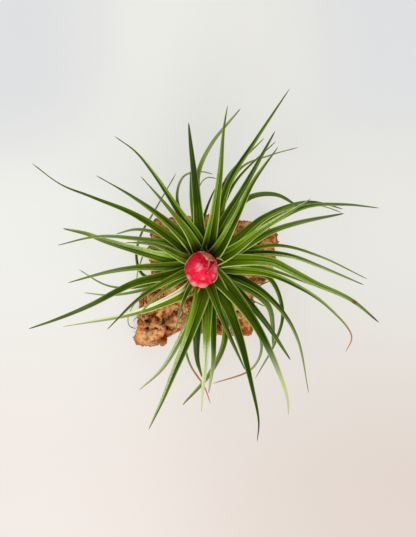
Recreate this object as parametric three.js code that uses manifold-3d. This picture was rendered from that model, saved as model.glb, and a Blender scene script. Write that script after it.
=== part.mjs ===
// An air plant: a rosette of channelled, tapering leaves round a pink flower head, on a slab of cork bark.
// Millimetres, +Z up. The origin is on the cork's flat underside, below the plant's stem.
import * as THREE from "three";
import Module from "manifold-3d";

const wasm = await Module();
wasm.setup();

// Driving sizes.
const seatGap = 0.3; // left between pieces that touch
const corkTop = 26; // height of the seat that the stem stands on
const corkSeatRadius = 9;
const corkMiddle = new THREE.Vector2(-22, -8); // every part of its edge can be seen from here
const corkRelief = 5; // how far the plates of bark differ in height
const highestPlate = 0.5; // above the seat
const fissureDepth = 6;
const fissureWidth = 2.4;
const plateSpacing = 13;
const stemFootRadius = 6;
const bulbRadius = 9.5; // where the leaf bases swell, half way up
const bulbHeight = 38;
const stemTopRadius = 4.4;
const stemTop = 54;
const lowestRoot = 30.5; // height at which the oldest leaves leave the stem
const highestRoot = 48;
const sheathCount = 18; // short old leaves, close round the foot of the rosette
const sheathLift = 12;
const sheathWidth = 9;
const sheathReach = 20;
const rootRadius = 1.6; // how near to the stem's axis a leaf's root reaches
const leafStations = 10;
const baseFlare = 1.3; // how much broader a leaf is where it leaves the stem
const keelThickness = 1.3; // a leaf's thickness along its middle, at full width
const leastThickness = 0.7;
const leastWidth = 1;
const channelFold = 0.42; // rise of a leaf's margins over its middle, as a share of its half width
const headTop = 77.5;
const headHalfWidth = 10.2;
const headHalfDepth = 11.4;
const headLean = new THREE.Vector2(-1.8, -3.2); // where the head's middle lies, seen from above
const bractCount = 17;
const bractThickness = 0.8;
const goldenAngle = Math.PI * (3 - Math.sqrt(5));

// The plan positions below are as seen from above, from one eye point, on a level through the crown.
// Anything higher lies a little nearer to the line of sight than it seems, and anything lower farther out.
const eyeHeight = 1300;
const crownLevel = 55;
const sightLine = new THREE.Vector2(2.6, -2.3);

// tier: 0 for the oldest leaf, at the foot of the stem, to 1 for the youngest.
// lift: degrees at which it leaves the stem. tip: the tip's height. width: its widest.
// roll: degrees that the blade is turned about its length. plan: x, y pairs from the stem to the tip.
// slender: 1 where the blade keeps its width almost to the tip, 0 where it narrows evenly.
const usualSlender = (width) => THREE.MathUtils.clamp(0.8 - 0.07 * width, 0.2, 0.75);
const leaf = (tier, lift, tip, width, roll, plan, slender = usualSlender(width)) => ({
  tier, lift, tip, width, roll, plan, slender,
});

const leaves = [
  // north-west
  leaf(0.8, 31, 80, 7.2, 8, [-15.8, 13.2, -45.5, 33, -75.2, 45.3, -95, 53.4, -113.4, 67], 0.05),
  leaf(0.88, 38, 88, 8.4, 6, [-9.2, 13.5, -27.6, 30.9, -48.1, 45.6, -71.3, 59.1], 0.1),
  leaf(0.95, 46, 98, 7.2, 0, [-9.2, 19.4, -22.8, 37, -41.7, 58.4], 0.2),
  leaf(0.92, 42, 98, 7.2, -10, [-3.3, 15.8, -16, 35, -34.1, 61.6, -45.4, 75, -59.1, 85], 0.2),
  leaf(0.84, 42, 100, 8.6, 0, [-2.6, 19.8, -5, 46.2, -8.6, 77.9, -10.2, 93.9], 0.55),
  leaf(0.74, 40, 92, 6, 10, [-4.6, 20, -8.2, 40, -9.2, 62]),
  leaf(0.4, 18, 44, 3.6, 0, [-13, 28, -17.8, 46, -13.2, 58.7, -2, 61.5, 5.9, 60]),
  // west
  leaf(0.4, 16, 30, 4.4, 0, [-17, 13, -33.7, 21.8, -45.5, 23.4, -57.8, 20.5], 0.75),
  leaf(0.86, 29, 62, 4.8, 0, [-18.5, 12.8, -42.2, 17.1, -70, 18.8, -96.7, 13], 0.5),
  leaf(0.96, 34, 84, 8, -8, [-14.5, 5.3, -32.3, 13.5, -51.5, 14.9]),
  leaf(0.74, 24, 58, 8.5, -8, [-15.8, 3, -30, 5.9, -45.5, 10.3, -65.3, 16.2, -78, 20.8, -93.1, 24.1], 0.6),
  leaf(0.2, 10, 9, 2.6, 0, [-20, 7, -36.3, 11.4, -43, -2, -44.6, -9.9]),
  leaf(0.15, 8, 17, 2.8, 0, [-24, -10, -40.2, -6.5, -44.7, 5.6, -41.7, 19.9, -33.9, 33.6, -18.5, 60.4]),
  leaf(0.8, 27, 62, 6.9, 6, [-12.5, -1, -28, -1.4, -42.2, -1.7, -62, -4.4, -89.8, -11.7], 0.4),
  // south-west
  leaf(0.84, 28, 64, 6.4, 0, [-15.8, -5.3, -45.5, -11.9, -75.2, -26.6, -95, -35, -115.8, -42.2], 0.6),
  leaf(0.35, 10, 20, 3.1, 0, [-22, -9, -48, -15, -64.7, -13.2, -82.5, -3], 0.7),
  leaf(0.42, 12, 24, 4.2, 0, [-25.7, -11.9, -45.5, -17.6, -62, -19.9, -79.2, -18.3], 0.5),
  leaf(0.92, 35, 78, 5.2, 10, [-15.8, -6.6, -32.3, -15.2, -45.5, -24.4, -63.9, -42.6]),
  leaf(0.86, 34, 72, 4, 0, [-15.8, -9.9, -30.4, -19.8, -46.9, -37]),
  leaf(0.66, 21, 44, 8.8, -14, [-9.2, -14.5, -32.3, -26.8, -52.1, -33, -93.1, -40.6], 0.2),
  leaf(0.1, 6, 6, 1.8, 0, [-20, -9, -40.3, -19.1, -50, -34, -49, -40.3, -44.8, -42]),
  // south
  leaf(0.8, 30, 58, 4.4, 0, [-9.2, -14.5, -14.5, -26.4, -19.5, -46.2]),
  leaf(0.6, 24, 50, 7.8, 8, [-3.3, -21.8, -14.2, -46.2, -27.6, -68.6, -42.6, -82.4], 0.4),
  leaf(0.95, 33, 76, 10.2, 0, [-0.7, -16.5, -9.4, -44.9, -20.6, -72.6, -27.4, -89, -36.6, -108.6], 0.35),
  leaf(0.2, 12, 8, 2.8, 0, [-4, -24, -9.5, -42, -12.2, -54, -8.6, -66.7, 0, -79.9, 4.3, -91.4], 0.8),
  leaf(0.6, 20, 44, 11, -8, [-2, -20, -4.8, -43, -4.6, -62, -1.4, -74], 0.5),
  leaf(0.84, 28, 64, 9.2, 0, [1.8, -26.4, 1.7, -47.5, 0.9, -64.7, -0.6, -80, -1.8, -96.7], 0.35),
  leaf(0.7, 25, 54, 6, 8, [5.3, -25.1, 6.4, -50, 6.1, -64.7, 4.4, -76, 3, -84.4], 0.8),
  leaf(0.35, 14, 24, 6, 0, [12, -24, 13.6, -49.5, 3.6, -71.9, -14.2, -92.4], 0.8),
  leaf(1, 37, 86, 6.4, 6, [5, -16, 13.9, -39.6, 27.1, -69.3], 0.5),
  leaf(0.6, 24, 58, 4.6, 0, [10, -22, 19.8, -44.2, 31, -76.6]),
  leaf(0.9, 34, 76, 8.8, 8, [11, -16.5, 22.8, -45.2, 31.3, -78.4, 36.1, -103, 35.1, -116.5], 0.25),
  leaf(0.3, 16, 10, 3.2, 0, [26, -28, 38, -53, 31.7, -68.2, 5.8, -78.3], 0.7),
  leaf(0.94, 35, 80, 9.8, 0, [15.8, -15.2, 33.7, -38.9, 46.9, -64.7, 55, -88, 55.8, -99], 0.45),
  leaf(0.72, 28, 68, 7.2, 0, [20, -15.4, 39.4, -36.6, 57.1, -62.7], 0.6),
  // east
  leaf(0.3, 12, 22, 2, 0, [17, -14, 30, -22.2, 40.2, -27.4]),
  leaf(0.4, 14, 16, 7.3, 0, [19, -9.5, 36.6, -20.8, 43, -28.4, 45.3, -40, 45.5, -54.8], 0.7),
  leaf(0.5, 22, 13, 4.2, 0, [20, -4, 42.9, -8.6, 51.8, -31, 47.5, -49.5, 33.7, -75], 0.65),
  leaf(0.3, 14, 28, 2.2, 0, [20, -6, 33, -14, 40.3, -11.9, 45.9, -8.9]),
  leaf(0.56, 17, 18, 6.5, 0, [23.1, -8.8, 38.9, -18.2, 53.2, -32.9, 62.2, -50.2, 69, -84.5], 0.2),
  leaf(0.72, 21, 40, 5.2, 6, [17, -2.8, 41.1, -5.4, 60, -13, 80, -26, 97.4, -46.9, 93.4, -57.4]),
  leaf(0.78, 21, 46, 4.6, 0, [20, 0.2, 37.6, -1.3, 50.3, -5.1, 75.6, -14.9]),
  leaf(0.92, 29, 60, 7.6, -8, [16, 2.8, 43.6, 2, 56, -3.4, 73.3, -12.3, 97, -23.1, 115.5, -38], 0.6),
  leaf(0.76, 25, 60, 5.2, 0, [20.5, 6.2, 37.6, 7.9, 50.2, 7.3, 61, 4.9, 79.9, -2.4, 105.6, -13.2], 0.6),
  leaf(0.68, 25, 62, 3.4, 0, [25.7, 9.5, 50, 12.8, 76.6, 5.6, 107.6, -9.2], 0.6),
  // north-east
  leaf(0.74, 28, 60, 6, 0, [20.5, 8.8, 42.9, 21.4, 60.3, 27.4, 92.4, 34], 0.75),
  leaf(0.96, 41, 92, 8.8, -16, [17.2, 7.9, 37, 22.4, 70.3, 43.6], 0.3),
  leaf(0.5, 24, 58, 2.4, 0, [15, 9, 40.3, 28, 66, 40, 79, 38.6, 90.4, 34.7]),
  leaf(0.66, 27, 66, 6.2, 0, [15, 7, 33.7, 21, 66.7, 38.3, 93.1, 39.9, 115.5, 37.6], 0.45),
  leaf(0.76, 29, 62, 8.6, 8, [15, 10, 40.3, 31.6, 66, 41.2, 79, 40.4, 91.7, 36.8], 0.35),
  leaf(0.55, 36, 74, 6.2, 0, [15, 24, 28.4, 43.6, 46.9, 46.5, 62.7, 38.3], 0.8),
  leaf(0.96, 44, 100, 8.1, 12, [10, 12, 21.6, 33.2, 31.2, 53.2, 48.8, 77.9], 0.35),
  leaf(0.86, 40, 98, 7.2, 0, [9.2, 22.4, 28.4, 54.8, 46.9, 88.4], 0.5),
  leaf(0.4, 26, 62, 2.8, 0, [12, 38, 24.4, 64, 43, 72.2, 62, 77.6], 0.65),
  leaf(0.5, 30, 72, 3.6, 0, [10, 32, 21.1, 55.4, 47.2, 81.5]),
  leaf(0.8, 38, 102, 6.8, -8, [8.3, 26.4, 16.5, 54.1, 33.7, 81.8, 56.4, 116.2], 0.35),
  leaf(0.6, 32, 80, 5, 0, [6, 32, 15.8, 58, 39.6, 83.8]),
  leaf(0.94, 42, 106, 8.4, 10, [5, 23.1, 10.3, 59.4, 12.9, 89.1, 15.5, 105.3], 0.3),
  leaf(0.5, 30, 74, 5, 0, [-3, 34, -4, 59.4, 4.6, 79.2, 24.1, 103.3], 0.75),
  leaf(0.35, 20, 44, 2.2, 0, [-5, 30, -3, 52.1, 2, 57.6, 8.3, 57.1]),
  leaf(0.45, 24, 50, 3.8, 0, [-1.5, 24, 2.6, 39.6, 9, 54]),
];

// The cork's edge, seen from above, anticlockwise from its east side.
const corkEdge = [
  47.5, 2.6, 46.8, 10.6, 50, 15, 49.8, 19.8, 47.5, 22.4, 40, 27.5, 30.4, 29, 15, 31, 2.6, 33, -12, 32.5,
  -23.8, 31.7, -32.3, 30.4, -36, 17.2, -35.6, 2.6, -35, -5.3, -40, -16, -43.6, -25.7, -44.2, -35.6,
  -44.6, -43.6, -47.2, -50,
  -44.6, -53.4, -34, -54.2, -26.5, -53.9, -24.7, -53.2, -24.4, -51.5, -24, -48.2, -22.4, -46.8,
  -19.9, -45.9, -14.3, -43.2, -4, -45, 7.3, -46.2, 18.5, -47.5, 32.3, -45.9, 33, -42.2, 33, -32, 33.7, -21.8,
  36.3, -13.2, 41.6, -11.2, 45, -4,
];

function seededRandom(seed) {
  let state = seed;
  return () => {
    state = (state + 0x6d2b79f5) | 0;
    let mixed = Math.imul(state ^ (state >>> 15), 1 | state);
    mixed = (mixed + Math.imul(mixed ^ (mixed >>> 7), 61 | mixed)) ^ mixed;
    return ((mixed ^ (mixed >>> 14)) >>> 0) / 4294967296;
  };
}

// Moves a plan position that was seen on the crown's level to where it lies at height z.
function placeFromAbove(x, y, z) {
  const share = (eyeHeight - z) / (eyeHeight - crownLevel);
  const seen = (at, eye) => eye + (at - eye) * share;
  return new THREE.Vector3(seen(x, sightLine.x), seen(y, sightLine.y), z);
}

function planPoints(numbers) {
  const points = [];
  for (let i = 0; i < numbers.length; i += 2) points.push(new THREE.Vector3(numbers[i], numbers[i + 1], 0));
  return points;
}

function solidOf(positions, triangles) {
  return new wasm.Manifold(
    new wasm.Mesh({
      numProp: 3,
      vertProperties: new Float32Array(positions.flatMap((p) => [p.x, p.y, p.z])),
      triVerts: new Uint32Array(triangles),
    }),
  );
}

// Rings of equally many points, joined in turn, and closed to a point before the first and after the last.
function loft(rings, foot, apex) {
  const around = rings[0].length;
  const triangles = [];
  for (let r = 0; r + 1 < rings.length; r++)
    for (let i = 0; i < around; i++) {
      const a = r * around + i;
      const b = r * around + ((i + 1) % around);
      triangles.push(a, b, b + around, a, b + around, a + around);
    }
  const last = (rings.length - 1) * around;
  const ends = rings.length * around;
  for (let i = 0; i < around; i++) {
    const next = (i + 1) % around;
    triangles.push(next, i, ends, last + i, last + next, ends + 1);
  }
  return solidOf([...rings.flat(), foot, apex], triangles);
}

// A leaf's width at a share s of its length, as a share of its stated width: flared where it leaves the stem,
// then tapering to a long end.
function leafTaper(slender, s) {
  const flare = THREE.MathUtils.lerp(baseFlare, 1, THREE.MathUtils.smoothstep(s, 0.05, 0.55));
  return flare * THREE.MathUtils.lerp(Math.pow(1 - s, 1.3), Math.pow(1 - s, 0.4), slender);
}

function leafBlade({ tier, lift, tip, width, roll, plan: numbers, slender }) {
  const plan = planPoints(numbers);
  const root = plan[0].clone().setLength(rootRadius);
  const path = new THREE.CatmullRomCurve3([root, ...plan], false, "centripetal");
  const reach = path.getLength();
  const rootHeight = THREE.MathUtils.lerp(lowestRoot, highestRoot, tier);
  const climb = Math.tan(THREE.MathUtils.degToRad(lift)) * reach;
  const line = path.getSpacedPoints(leafStations).map((p, i) => {
    const s = i / leafStations;
    return placeFromAbove(p.x, p.y, rootHeight + climb * s + (tip - rootHeight - climb) * s * s);
  });
  const rings = line.slice(0, -1).map((middle, i) => {
    const along = new THREE.Vector3().subVectors(line[i + 1], line[Math.max(i - 1, 0)]).normalize();
    const across = new THREE.Vector3(0, 0, 1).cross(along).normalize();
    across.applyAxisAngle(along, THREE.MathUtils.degToRad(roll));
    const up = new THREE.Vector3().crossVectors(along, across);
    const taper = leafTaper(slender, i / leafStations);
    const half = Math.max((width * taper) / 2, leastWidth / 2);
    const thick = Math.max(keelThickness * taper, leastThickness);
    const at = (aside, above) => middle.clone().addScaledVector(across, aside).addScaledVector(up, above);
    return [at(0, -thick / 2), at(half, half * channelFold), at(0, thick / 2), at(-half, half * channelFold)];
  });
  return loft(rings, line[0], line[leafStations]);
}

// Short, broad old leaves that clasp the bulb, each a golden angle on from the last and a little higher.
function sheaths() {
  const random = seededRandom(5);
  return Array.from({ length: sheathCount }, (_, i) => {
    const turn = i * goldenAngle;
    const age = i / sheathCount;
    const reach = sheathReach + 5 * random();
    const tip = lowestRoot + 6 + 12 * age + 3 * random();
    const plan = [0.6 * reach, reach].flatMap((r) => [r * Math.cos(turn), r * Math.sin(turn)]);
    return leafBlade(leaf(age * 0.5, sheathLift, tip, sheathWidth, 0, plan));
  });
}

// The one body that the fused pieces make: scraps and sealed hollows are dropped.
function fuse(solids) {
  const parts = wasm.Manifold.union(solids).decompose();
  return parts.sort((a, b) => b.volume() - a.volume())[0];
}

function stem() {
  const profile = [
    new THREE.Vector2(0, corkTop + seatGap),
    new THREE.Vector2(stemFootRadius, corkTop + seatGap),
    new THREE.Vector2(bulbRadius, bulbHeight),
    new THREE.Vector2((bulbRadius + stemTopRadius) / 2, (bulbHeight + stemTop) / 2),
    new THREE.Vector2(stemTopRadius, stemTop),
    new THREE.Vector2(0, stemTop),
  ];
  return revolve(profile, 12);
}

// A solid of revolution round Z. The profile runs from its lowest point on the axis to its highest.
function revolve(profile, sides) {
  const rings = profile.slice(1, -1).map((p) =>
    Array.from({ length: sides }, (_, i) => {
      const turn = (i / sides) * 2 * Math.PI;
      return new THREE.Vector3(p.x * Math.cos(turn), p.x * Math.sin(turn), p.y);
    }),
  );
  const [foot, crown] = [profile[0], profile[profile.length - 1]].map((p) => new THREE.Vector3(0, 0, p.y));
  return loft(rings, foot, crown);
}

function meshOf(name, solid, material) {
  const { vertProperties, triVerts } = solid.getMesh();
  const geometry = new THREE.BufferGeometry();
  geometry.setAttribute("position", new THREE.BufferAttribute(vertProperties, 3));
  geometry.setIndex(new THREE.BufferAttribute(triVerts, 1));
  geometry.computeVertexNormals();
  const mesh = new THREE.Mesh(geometry, material);
  mesh.name = name;
  return mesh;
}

// The head is an egg on the stem's top. This gives a point on it, or off it by a distance.
// turn: round the axis. rise: 0 at its foot to 1 at its crown.
function onHead(turn, rise, off) {
  const foot = stemTop + seatGap;
  const middle = (foot + headTop) / 2;
  const slope = Math.PI * (rise - 0.5);
  const reach = Math.cos(slope);
  const lean = Math.min(1, rise * 1.6);
  return new THREE.Vector3(
    headLean.x * lean + (headHalfWidth * reach + off * reach) * Math.cos(turn),
    headLean.y * lean + (headHalfDepth * reach + off * reach) * Math.sin(turn),
    middle + ((headTop - foot) / 2 + off) * Math.sin(slope),
  );
}

// One bract: a spoon-shaped scale that hugs the head, with its point standing off a little.
function bract(index, random) {
  const age = index / (bractCount - 1); // 0 for the outermost
  const turn = index * goldenAngle;
  const foot = 0.16 + 0.34 * age;
  const crown = Math.min(0.62 + 0.36 * age + 0.05 * random(), 0.97);
  const spread = THREE.MathUtils.lerp(0.75, 1.35, age);
  const lip = 0.5 + 0.7 * random();
  const rows = 5;
  const columns = 5;
  const sheet = (inner) => {
    const points = [];
    for (let r = 0; r < rows; r++) {
      const v = r / (rows - 1);
      const half = spread * Math.sin(Math.PI * (0.2 + 0.72 * v));
      for (let c = 0; c < columns; c++) {
        const u = (c / (columns - 1)) * 2 - 1;
        const rise = foot + (crown - foot) * v * (1 - 0.12 * u * u);
        const off = 0.4 + (1 - age) * 0.9 + lip * v * v;
        points.push(onHead(turn + u * half * 0.5, rise, off - (inner ? bractThickness : 0)));
      }
    }
    return points;
  };
  const triangles = [];
  const count = rows * columns;
  const quad = (a, b, c, d) => triangles.push(a, b, c, a, c, d);
  for (let r = 0; r + 1 < rows; r++)
    for (let c = 0; c + 1 < columns; c++) {
      const a = r * columns + c;
      quad(a, a + 1, a + columns + 1, a + columns);
      quad(count + a, count + a + columns, count + a + columns + 1, count + a + 1);
    }
  const rim = [];
  for (let c = 0; c < columns - 1; c++) rim.push(c);
  for (let r = 0; r < rows - 1; r++) rim.push(r * columns + columns - 1);
  for (let c = columns - 1; c > 0; c--) rim.push((rows - 1) * columns + c);
  for (let r = rows - 1; r > 0; r--) rim.push(r * columns);
  rim.forEach((a, i) => {
    const b = rim[(i + 1) % rim.length];
    quad(a, count + a, count + b, b);
  });
  return solidOf([...sheet(false), ...sheet(true)], triangles);
}

function headCore() {
  const sides = 14;
  const rows = 7;
  const rings = Array.from({ length: rows }, (_, r) =>
    Array.from({ length: sides }, (_, i) => onHead((i / sides) * 2 * Math.PI, 0.1 + (0.86 * r) / rows, 0)),
  );
  for (const p of rings[0]) p.z = stemTop + seatGap;
  return loft(rings, new THREE.Vector3(0, 0, stemTop + seatGap), onHead(0, 1, 0));
}

function flowerHead() {
  const random = seededRandom(7);
  const bracts = Array.from({ length: bractCount }, (_, i) => bract(i, random));
  return fuse([headCore(), ...bracts]);
}

// Plates of bark: the height and the fissures at a plan position.
function barkPlates() {
  const random = seededRandom(21);
  const plates = [];
  for (let x = -60; x <= 60; x += plateSpacing)
    for (let y = -65; y <= 45; y += plateSpacing)
      plates.push({
        x: x + (random() - 0.5) * plateSpacing,
        y: y + (random() - 0.5) * plateSpacing,
        height: (random() - 0.75) * corkRelief,
        tiltX: (random() - 0.5) * 0.3,
        tiltY: (random() - 0.5) * 0.3,
      });
  return (x, y) => {
    const near = plates.map((p) => ({ p, d: Math.hypot(x - p.x, y - p.y) })).sort((a, b) => a.d - b.d);
    const { p } = near[0];
    const toEdge = (near[1].d - near[0].d) / 2;
    const fissure = fissureDepth * Math.max(0, 1 - toEdge / fissureWidth);
    return p.height + (x - p.x) * p.tiltX + (y - p.y) * p.tiltY - fissure;
  };
}

function corkBark() {
  const sides = 84;
  const topRings = 11;
  const outline = new THREE.CatmullRomCurve3(planPoints(corkEdge), true, "centripetal");
  const edge = outline.getSpacedPoints(sides).slice(0, sides);
  const middle = new THREE.Vector3(corkMiddle.x, corkMiddle.y, 0);
  const plateHeight = barkPlates();
  const ringAt = (share, height) =>
    edge.map((p) => {
      const q = middle.clone().lerp(p, share);
      return placeFromAbove(q.x, q.y, height(q.x, q.y));
    });
  const top = (x, y) => {
    const offSeat = THREE.MathUtils.smoothstep(Math.hypot(x, y), corkSeatRadius, 1.6 * corkSeatRadius);
    return corkTop + Math.min(plateHeight(x, y), highestPlate) * offSeat;
  };
  // The flank, from the flat underside outwards and up to the rim, then the top from the rim to the middle.
  const rings = [ringAt(0.9, () => 0), ringAt(0.965, () => 3), ringAt(1, () => 9)];
  rings.push(ringAt(0.99, (x, y) => top(x, y) - 5));
  for (let ring = topRings; ring > 0; ring--) rings.push(ringAt((0.94 * ring) / topRings, top));
  const under = placeFromAbove(middle.x, middle.y, 0);
  return loft(rings, under, placeFromAbove(middle.x, middle.y, top(middle.x, middle.y)));
}

const corkMaterial = new THREE.MeshStandardMaterial({ color: 0xb9773f, roughness: 0.95, metalness: 0 });
const leafMaterial = new THREE.MeshStandardMaterial({ color: 0x4c6d1f, roughness: 0.6, metalness: 0 });
const bractMaterial = new THREE.MeshStandardMaterial({ color: 0xd8254f, roughness: 0.55, metalness: 0 });

const airPlant = new THREE.Group();
airPlant.add(meshOf("cork_bark", corkBark(), corkMaterial));
airPlant.add(meshOf("leaf_rosette", fuse([stem(), ...sheaths(), ...leaves.map(leafBlade)]), leafMaterial));
airPlant.add(meshOf("flower_head", flowerHead(), bractMaterial));

export default airPlant;
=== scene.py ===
# An air plant in flower on a slab of cork bark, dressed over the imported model. Metres, +Z up.
import bisect
import math
import random
import bmesh
import bpy
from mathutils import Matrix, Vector, noise


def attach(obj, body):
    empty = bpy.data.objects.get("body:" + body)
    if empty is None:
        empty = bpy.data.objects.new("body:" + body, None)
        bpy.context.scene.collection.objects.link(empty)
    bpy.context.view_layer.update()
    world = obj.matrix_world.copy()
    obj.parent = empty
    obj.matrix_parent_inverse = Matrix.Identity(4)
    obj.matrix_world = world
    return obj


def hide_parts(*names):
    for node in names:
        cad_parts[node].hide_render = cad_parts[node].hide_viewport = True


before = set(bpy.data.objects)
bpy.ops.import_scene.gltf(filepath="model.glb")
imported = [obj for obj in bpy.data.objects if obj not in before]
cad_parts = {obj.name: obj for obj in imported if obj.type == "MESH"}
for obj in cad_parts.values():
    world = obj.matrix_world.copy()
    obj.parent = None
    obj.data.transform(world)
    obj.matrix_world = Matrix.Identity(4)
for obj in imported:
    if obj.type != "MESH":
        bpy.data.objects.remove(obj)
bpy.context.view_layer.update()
print("frame loaded")

millimetre = 0.001
goldenAngle = math.pi * (3 - math.sqrt(5))

# Plan positions are as seen from above, from one eye point, on a level through the crown.
eyeHeight = 1300.0
crownLevel = 55.0
sightLine = (2.6, -2.3)


def lerp(a, b, share):
    return a + (b - a) * share


def clamp(value, low=0.0, high=1.0):
    return max(low, min(high, value))


def smoothStep(value, low, high):
    share = clamp((value - low) / (high - low))
    return share * share * (3 - 2 * share)


def placeFromAbove(x, y, z):
    share = (eyeHeight - z) / (eyeHeight - crownLevel)
    return Vector((sightLine[0] + (x - sightLine[0]) * share, sightLine[1] + (y - sightLine[1]) * share, z))


def pairs(numbers):
    return [Vector((numbers[i], numbers[i + 1], 0)) for i in range(0, len(numbers), 2)]


# Evenly spaced points on a centripetal curve through the given ones, and its length.
def smoothPath(points, count, closed=False, fine=40):
    total = len(points)
    spans = total if closed else total - 1
    dense = []
    for span in range(spans):
        p1, p2 = points[span], points[(span + 1) % total]
        p0 = points[span - 1] if closed or span > 0 else p1 * 2 - p2
        p3 = points[(span + 2) % total] if closed or span + 2 < total else p2 * 2 - p1
        d1 = max((p2 - p1).length ** 0.5, 1e-4)
        d0 = max((p1 - p0).length ** 0.5, 1e-4)
        d2 = max((p3 - p2).length ** 0.5, 1e-4)
        t1 = ((p1 - p0) / d0 - (p2 - p0) / (d0 + d1) + (p2 - p1) / d1) * d1
        t2 = ((p2 - p1) / d1 - (p3 - p1) / (d1 + d2) + (p3 - p2) / d2) * d1
        for k in range(fine):
            t = k / fine
            a = (2 * t**3 - 3 * t**2 + 1) * p1 + (t**3 - 2 * t**2 + t) * t1
            dense.append(a + (-2 * t**3 + 3 * t**2) * p2 + (t**3 - t**2) * t2)
    dense.append(points[0] if closed else points[-1])
    run = [0.0]
    for a, b in zip(dense, dense[1:]):
        run.append(run[-1] + (b - a).length)
    spaced = []
    for i in range(count + 1):
        target = run[-1] * i / count
        k = min(max(bisect.bisect_right(run, target), 1), len(run) - 1)
        share = (target - run[k - 1]) / max(run[k] - run[k - 1], 1e-9)
        spaced.append(dense[k - 1].lerp(dense[k], share))
    return spaced, run[-1]


# The same run of chances each time: one call gives the next number from 0 to 1.
def seededRandom(seed):
    state = seed

    def following():
        nonlocal state
        state = (state + 0x6D2B79F5) & 0xFFFFFFFF
        mixed = ((state ^ (state >> 15)) * (1 | state)) & 0xFFFFFFFF
        mixed = ((mixed + (((mixed ^ (mixed >> 7)) * (61 | mixed)) & 0xFFFFFFFF)) & 0xFFFFFFFF) ^ mixed
        return ((mixed ^ (mixed >> 14)) & 0xFFFFFFFF) / 4294967296

    return following


# Colours are given as they look on a screen, 0 to 255.
def tint(red, green, blue):
    def linear(level):
        level /= 255
        return level / 12.92 if level <= 0.04045 else ((level + 0.055) / 1.055) ** 2.4

    return (linear(red), linear(green), linear(blue), 1.0)


# Node helpers, for shading and for geometry alike. An input is a number, a colour or another node's output.
def addNode(tree, kind, inputs=(), **settings):
    node = tree.nodes.new(kind)
    for key, value in settings.items():
        setattr(node, key, value)
    for key, value in dict(inputs).items():
        if isinstance(value, bpy.types.NodeSocket):
            tree.links.new(value, node.inputs[key])
        else:
            node.inputs[key].default_value = value
    return node


def maths(tree, operation, a, b=0.0, clampIt=False):
    node = addNode(tree, "ShaderNodeMath", {0: a, 1: b}, operation=operation)
    node.use_clamp = clampIt
    return node.outputs[0]


def stepBetween(tree, value, low, high, toLow=0.0, toHigh=1.0):
    inputs = {"Value": value, "From Min": low, "From Max": high, "To Min": toLow, "To Max": toHigh}
    return addNode(tree, "ShaderNodeMapRange", inputs, interpolation_type="SMOOTHSTEP").outputs[0]


def blendColour(tree, factor, a, b, kind="MIX"):
    node = addNode(tree, "ShaderNodeMix", data_type="RGBA", blend_type=kind, clamp_factor=True)
    for socket, value in ((node.inputs[0], factor), (node.inputs[6], a), (node.inputs[7], b)):
        if isinstance(value, bpy.types.NodeSocket):
            tree.links.new(value, socket)
        else:
            socket.default_value = value
    return node.outputs[2]


def attributeOf(tree, name):
    return addNode(tree, "ShaderNodeAttribute", attribute_name=name).outputs["Fac"]


def objectPlace(tree):
    return addNode(tree, "ShaderNodeTexCoord").outputs["Object"]


def noiseAt(tree, place, scale, detail=3.0, roughness=0.55, distortion=0.0):
    inputs = {"Vector": place, "Scale": scale, "Detail": detail,
              "Roughness": roughness, "Distortion": distortion}
    return addNode(tree, "ShaderNodeTexNoise", inputs).outputs["Fac"]


def colourNoise(tree, place, scale, detail=1.0):
    inputs = {"Vector": place, "Scale": scale, "Detail": detail}
    return addNode(tree, "ShaderNodeTexNoise", inputs).outputs["Color"]


def vectorMaths(tree, operation, inputs, output=0):
    return addNode(tree, "ShaderNodeVectorMath", inputs, operation=operation).outputs[output]


def newMaterial(name, **shaderValues):
    material = bpy.data.materials.new(name)
    material.use_nodes = True
    tree = material.node_tree
    shader = tree.nodes["Principled BSDF"]
    for key, value in shaderValues.items():
        shader.inputs[key.replace("_", " ")].default_value = value
    return material, tree, shader


def bumpFrom(tree, height, strength, distance, before=None):
    inputs = {"Height": height, "Strength": strength, "Distance": distance}
    if before is not None:
        inputs["Normal"] = before
    return addNode(tree, "ShaderNodeBump", inputs).outputs[0]


def meshObject(name, vertices, faces, material=None, edges=(), smooth=True):
    mesh = bpy.data.meshes.new(name)
    mesh.from_pydata([tuple(v) for v in vertices], list(edges), faces)
    if smooth and faces:
        mesh.shade_smooth()
    if material:
        mesh.materials.append(material)
    made = bpy.data.objects.new(name, mesh)
    bpy.context.collection.objects.link(made)
    return made


# The faces between rings of points that lie one after another.
def ringFaces(spans, sides):
    faces = []
    for r in range(spans):
        for k in range(sides):
            a, b = r * sides + k, r * sides + (k + 1) % sides
            faces.append((a, b, b + sides, a + sides))
    return faces


# Fans that close the first and the last ring, each on a point of its own.
def poleFaces(last, sides, ends):
    faces = []
    for k in range(sides):
        faces.append(((k + 1) % sides, k, ends))
        faces.append((last + k, last + (k + 1) % sides, ends + 1))
    return faces


def storeValues(made, name, values):
    layer = made.data.attributes.new(name, "FLOAT", "POINT")
    layer.data.foreach_set("value", values)


def outward(mesh):
    shell = bmesh.new()
    shell.from_mesh(mesh)
    bmesh.ops.recalc_face_normals(shell, faces=shell.faces)
    shell.to_mesh(mesh)
    shell.free()


# Runs an object's geometry nodes and keeps the result as a plain mesh.
def bakeNodes(carrier, name, tree, values):
    modifier = carrier.modifiers.new("make", "NODES")
    modifier.node_group = tree
    for item in tree.interface.items_tree:
        if item.item_type == "SOCKET" and item.in_out == "INPUT" and item.name in values:
            modifier[item.identifier] = values[item.name]
    seen = carrier.evaluated_get(bpy.context.evaluated_depsgraph_get())
    mesh = bpy.data.meshes.new_from_object(seen)
    carrier.modifiers.remove(modifier)
    bpy.data.objects.remove(carrier)
    mesh.name = name
    outward(mesh)
    made = bpy.data.objects.new(name, mesh)
    bpy.context.collection.objects.link(made)
    return made


# camera and stage

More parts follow.
